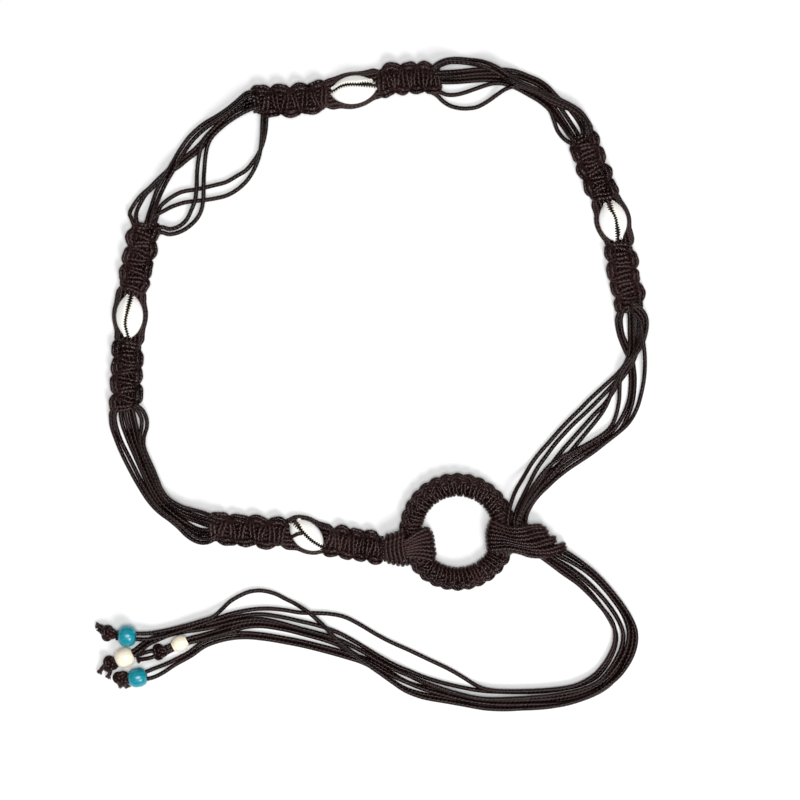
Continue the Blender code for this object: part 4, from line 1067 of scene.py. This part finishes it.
# %% Knot
OVER_KNOT = (
    ((527, 553.5), (521, 552.2), (514, 550.5), (505, 550.5), (494, 551.5)),
    ((546, 555.5), (535.5, 555.6), (527, 554.3), (518, 551), (508, 548.8), (498, 549.6), (490.6, 550.4)),
    ((562.5, 548.2), (555, 550.5), (547, 552), (535.5, 552.2), (522, 550), (508, 547.6), (498, 548.4),
     (490, 549)),
    ((561.5, 544.4), (554, 546.8), (545, 549), (533, 549.3), (520, 546.8), (506, 544.2), (490, 546)),
    ((552.3, 541), (544, 543.4), (533, 546), (520, 544.6), (506, 541.6), (489.6, 541.6)),
    ((552, 537.4), (544, 539.2), (533, 542.4), (520, 542), (504, 538.6), (489.4, 537.3)),
    ((545, 534.8), (536, 535.6), (525, 538.3), (513, 538.2), (502, 535.4), (489.4, 533.4)),
    ((544, 531), (536, 531.6), (524, 534.4), (512, 534.6), (502, 532), (490, 529.2)),
    ((542, 527.6), (534, 527.4), (522, 530.4), (511, 531), (502, 528.8), (491.2, 524.8)),
    ((538, 525.2), (528, 525.6), (518, 527.6), (508, 527.2), (500, 524.4), (492.8, 520.6)),
)


def fold_down(line, drop=6.2):
    """Bends the start of a line down and back under itself."""
    ahead = unit(line[0] - line[4]) * (1, 1, 0)
    head = [line[0] - ahead * 1.6 - (0, 0, drop), line[0] + ahead * 0.7 - (0, 0, drop * 0.74),
            line[0] + ahead * 1.15 - (0, 0, drop * 0.40), line[0] + ahead * 0.6 - (0, 0, drop * 0.12)]
    folded = np.vstack([smooth_line([*head, line[2], line[4]], 0.7), line[5:]])
    return np.maximum(folded, (-np.inf, -np.inf, 1.1))


KNOT_HEART, KNOT_TOP = (522, 539), 9.0


def knot_hump(line, run):
    """The bundle bulges over the cords that pass under it."""
    away = np.linalg.norm(line - spot(KNOT_HEART)[:2], axis=1)
    return KNOT_TOP - 0.26 * np.maximum(0, away - 6.0)


laid = lay_down([flat_line(m) for m in OVER_KNOT], both(over_ring, knot_hump), FOLD_SPACING, gap=-1.0,
                under=into_knot)
over_knot = [round_inner_limb(fold_down(line)) for line in laid]
add_cords("ring_knot_over", over_knot, ("ring_knot", "ring_knot_loops"), sides=12)

THROUGH = (
    ((507.5, 521, 8.6), (513, 532, 5.8), (526, 545, 3.0), (546, 560.5, 1.2)),
    ((513.6, 521, 7.4), (520, 532, 5.2), (534, 544, 3.2), (552, 558.5, 1.2)),
    ((518, 523, 4.0), (524, 533, 4.2), (538, 543.5, 3.2), (556.5, 556.5, 1.2)),
    ((522, 523, 4.0), (529, 533, 4.4), (543, 542.5, 3.2), (561, 554, 1.2)),
    ((525, 523, 2.8), (533, 533, 3.4), (548, 543, 3.0), (566.5, 551.8, 1.2)),
    ((519, 523, 1.8), (526, 534, 2.0), (541, 547, 3.6), (551, 555.5, 3.0)),
    ((523, 523, 1.6), (531, 535, 1.8), (546, 546, 3.6), (557, 553, 3.0)),
    ((516.5, 524, 1.6), (523, 536, 2.4), (536, 549, 3.8), (546, 557, 3.0)),
)
through = [smooth_line([spot(m[:2], m[2]) for m in marks], 1.0) for marks in THROUGH]
add_cords("ring_knot_under", through, ("ring_knot",), sides=12)

# %% [markdown]
# ## Wooden beads
# The beads are turned from wood and drilled. Two are dyed turquoise and lacquered, two are left pale.
# Each is a profile turned round the bore: rounded shoulders, a small lip at the hole and the hole's own
# wall. The grain is a stretched noise along the bore, strong on the pale beads and faint under the dye.

# %% Bead finishes and shapes


def bead_finish(name, dark, light, rough, coat):
    finish = Finish(name)
    place = finish.node("UVMap", {}, uv_map="bead")
    along_grain = finish.node("Mapping", {"Vector": place, "Scale": (26.0, 1.4, 1.0)})
    grain = finish.noise(along_grain, 1.0, 5.0, Roughness=0.6)
    return finish.set(
        Base_Color=finish.blend(finish.spread(grain, 0.32, 0.68, 0.0, 1.0), dark, light),
        Roughness=rough, Coat_Weight=coat, Coat_Roughness=0.08,
        Normal=finish.bump(grain, 0.00012, 0.4))


turquoise = bead_finish("turquoise_lacquered_wood", (0.0006, 0.15, 0.21), (0.001, 0.32, 0.40), 0.28, 0.25)
pale_wood = bead_finish("pale_turned_wood", (0.84, 0.70, 0.50), (0.97, 0.91, 0.78), 0.42, 0.15)


UP = np.array([0.0, 0.0, 1.0])
BORE = 2.35
BEAD_SIDES = 48


def bead_mesh(name, bead):
    """Turned profile swept round the bore."""
    axis = unit(spot(bead["to"]) - spot(bead["at"]))
    wide = np.array([-axis[1], axis[0], 0.0])
    half, radius = bead["length"] / 2, bead["radius"] - 0.02
    along = np.linspace(-half, half, 34)
    reach = radius * np.maximum(1 - np.abs(along / (half * 1.12)) ** 2.6, 0.0) ** 0.5
    profile = np.array([(-half + 0.5, BORE), (-half + 0.12, BORE + 0.08),
                        *zip(along, np.maximum(reach, BORE + 0.25)),
                        (half - 0.12, BORE + 0.08), (half - 0.5, BORE)])
    angle = np.arange(BEAD_SIDES)[:, None] * 2 * math.pi / BEAD_SIDES
    ring = wide * np.cos(angle) + UP * np.sin(angle)
    corners = bead_heart(bead) + profile[:, 0, None, None] * axis + profile[:, 1, None, None] * ring
    count = len(profile)
    faces, places = [], []
    for i in range(count):
        n = (i + 1) % count
        low, high = profile[i, 0] / half, profile[n, 0] / half
        for j in range(BEAD_SIDES):
            k = (j + 1) % BEAD_SIDES
            faces.append([i * BEAD_SIDES + j, i * BEAD_SIDES + k, n * BEAD_SIDES + k, n * BEAD_SIDES + j])
            left, right = j / BEAD_SIDES, (j + 1) / BEAD_SIDES
            places += [left, low, right, low, right, high, left, high]
    return face_out(mesh_of(name, corners.reshape(-1, 3), faces, "bead", places), bead_heart(bead))


for name, bead in BEADS.items():
    blue = name.startswith("turquoise")
    add_piece(f"{name}_turned", bead_mesh(name, bead), turquoise if blue else pale_wood,
                                  (name,))

# %% [markdown]
# ## End knots
# Behind each bead the two cords are tied in one overhand knot, and their cut ends fray a little. The
# overhand knot is the simplest closed knot, so its cord follows the trefoil curve, with both cords side by
# side. The frayed ends are short cords that thin out into a tuft of fine fibres.

# %% Knots and frayed ends
END_KNOTS = {
    "end_knot_1": dict(heart=(109.3, 632.8), bead="turquoise_bead_1", spin=0.5,
                       ends=((97.8, 625.2), (99.6, 629.8))),
    "end_knot_2": dict(heart=(110.6, 663.4), bead="natural_bead_1", spin=2.0,
                       ends=((100, 671.5), (108.5, 676.5))),
    "end_knot_3": dict(heart=(121.7, 677.8), bead="turquoise_bead_2", spin=1.2,
                       ends=((120.5, 686.5), (127, 686))),
    "end_knot_4": dict(heart=(160.3, 651.3), bead="natural_bead_2", spin=0.2,
                       ends=((137.6, 655.2), (139.2, 659.6))),
}
KNOT_SIZE, KNOT_BOB, KNOT_HEIGHT, KNOT_PAIR_HALF = 0.80, 1.35, 3.6, 0.92
HAIRS_PER_END, HAIR_RADIUS = 46, 0.13


def trefoil(t, spin):
    """Curve of the overhand knot round its own middle: along its axis, across it and up."""
    x, y = (np.sin(t) + 2 * np.sin(2 * t)) * KNOT_SIZE, (np.cos(t) - 2 * np.cos(2 * t)) * KNOT_SIZE
    return np.stack([x * math.cos(spin) - y * math.sin(spin), x * math.sin(spin) + y * math.cos(spin),
                     -np.sin(3 * t) * KNOT_BOB], axis=1)


def frayed(stub, picker):
    """Fine fibres at the cut end of a cord."""
    tip, way = stub[-1], unit(stub[-1] - stub[-3])
    cross = np.array([-way[1], way[0], 0.0])
    hairs = []
    for _ in range(HAIRS_PER_END):
        aside, up = picker.uniform(-0.95, 0.95), picker.uniform(-0.8, 0.9)
        root = tip + cross * aside + UP * up - way * 0.9
        far = root + way * picker.uniform(1.0, 2.4) + cross * (aside * picker.uniform(0.2, 1.3))
        far[2] = max(0.15, far[2] + picker.uniform(-0.9, 0.4))
        hairs.append(smooth_line([root, (root + far) / 2 + cross * picker.uniform(-0.2, 0.2), far], 0.5))
    return hairs


for number, (name, knot) in enumerate(END_KNOTS.items()):
    bead = BEADS[knot["bead"]]
    hole, heart = bead_heart(bead), spot(knot["heart"], KNOT_HEIGHT)
    axis = unit((heart - hole) * (1, 1, 0))
    wide = np.array([-axis[1], axis[0], 0.0])
    round_knot = np.linspace(0, 2 * math.pi, 90, endpoint=False)
    middle = heart + trefoil(round_knot, knot["spin"]) @ (axis, wide, UP)
    ahead = unit((np.roll(middle, -1, axis=0) - np.roll(middle, 1, axis=0)) * (1, 1, 0))
    apart = np.cross(UP, ahead) * KNOT_PAIR_HALF
    ends = [spot(mark, 1.3) for mark in knot["ends"]]
    side = np.sign(np.dot(ends[1] - ends[0], wide)) or 1.0
    stubs = []
    for tip, way in zip(ends, (-side, side)):
        root = heart + wide * way * 1.1 - UP * 0.6
        stubs.append(smooth_line([root, (tip + root) / 2 + wide * way * 0.5 + UP * 0.9, tip], 0.7))
    leaving = hole + axis * (bead["length"] / 2 - 1.2)
    neck = [smooth_line([leaving + wide * way, heart + wide * way * 0.9], 0.7) for way in (1.0, -1.0)]
    picker = np.random.default_rng(40 + number)
    hairs = [hair for stub in stubs for hair in frayed(stub, picker)]
    fray = add_piece(name + "_fray", tube_mesh(name + "_fray", hairs, HAIR_RADIUS, 4), brown_cord,
                     (name,))
    body = add_cords(name + "_loop", [middle + apart, middle - apart], (name,), 12, closed=True)
    tips = add_cords(name + "_ends", stubs + neck, (name,), 12)

# %% [markdown]
# ## Free cords
# The tail's eight cords are the only free ones: each starts at the knot on the ring and ends in an
# overhand knot. Two cords share each bead and knot. Below, each cord's length and bead are worked out.

for (node, n), line in zip(tail_names, tail_lines):
    bead = next(name for name, b in BEADS.items() if node in b["cords"])
    first = n == 0 and node != "tail_cord_5"
    line_length(line) * MM
    [tuple(p * MM) for p in line]
print("declared", len(tail_lines), "free cords")

# %% [markdown]
# ## Table and light
# The belt lies on a plain white sheet. A bright room and a broad lamp overhead light it almost evenly, and
# a smaller lamp at the lower right lays faint shadows to the upper left of each cord. More lamps would
# only add shadows that the real picture doesn't have.

# %% Floor and lamps
floor_mesh = bpy.data.meshes.new("white_table")
FLOOR_HALF, FLOOR_TOP = 3.0, -0.0003
floor_corners = [(x, y, FLOOR_TOP) for x, y in ((-FLOOR_HALF, -FLOOR_HALF), (FLOOR_HALF, -FLOOR_HALF),
                                                (FLOOR_HALF, FLOOR_HALF), (-FLOOR_HALF, FLOOR_HALF))]
floor_mesh.from_pydata(floor_corners, [], [(0, 1, 2, 3)])
floor = bpy.data.objects.new("white_table", floor_mesh)
bpy.context.scene.collection.objects.link(floor)
floor_mesh.materials.append(Finish("white_table_top").set(
    Base_Color=(0.9, 0.9, 0.9, 1.0), Roughness=0.9, Specular_IOR_Level=0.1))


def soft_lamp(name, place, size, watts):
    """Large square lamp that looks at the belt."""
    data = bpy.data.lights.new(name, "AREA")
    data.shape = "SQUARE"
    data.size = size
    data.energy = watts
    made = bpy.data.objects.new(name, data)
    made.location = place
    made.rotation_euler = (-Vector(place)).to_track_quat("-Z", "Y").to_euler()
    bpy.context.scene.collection.objects.link(made)
    print(name, watts, "W")


soft_lamp("key_lamp", (0.45, -0.95, 1.1), size=0.6, watts=14.0)
soft_lamp("top_lamp", (0.05, -0.1, 2.1), size=0.9, watts=31.0)
world = bpy.data.worlds.new("bright_room")
world.use_nodes = True
room_light = world.node_tree.nodes["Background"].inputs
room_light["Color"].default_value = (1.0, 1.0, 1.0, 1.0)
room_light["Strength"].default_value = 0.17
bpy.context.scene.world = world
bpy.context.scene.view_settings.view_transform = "Standard"
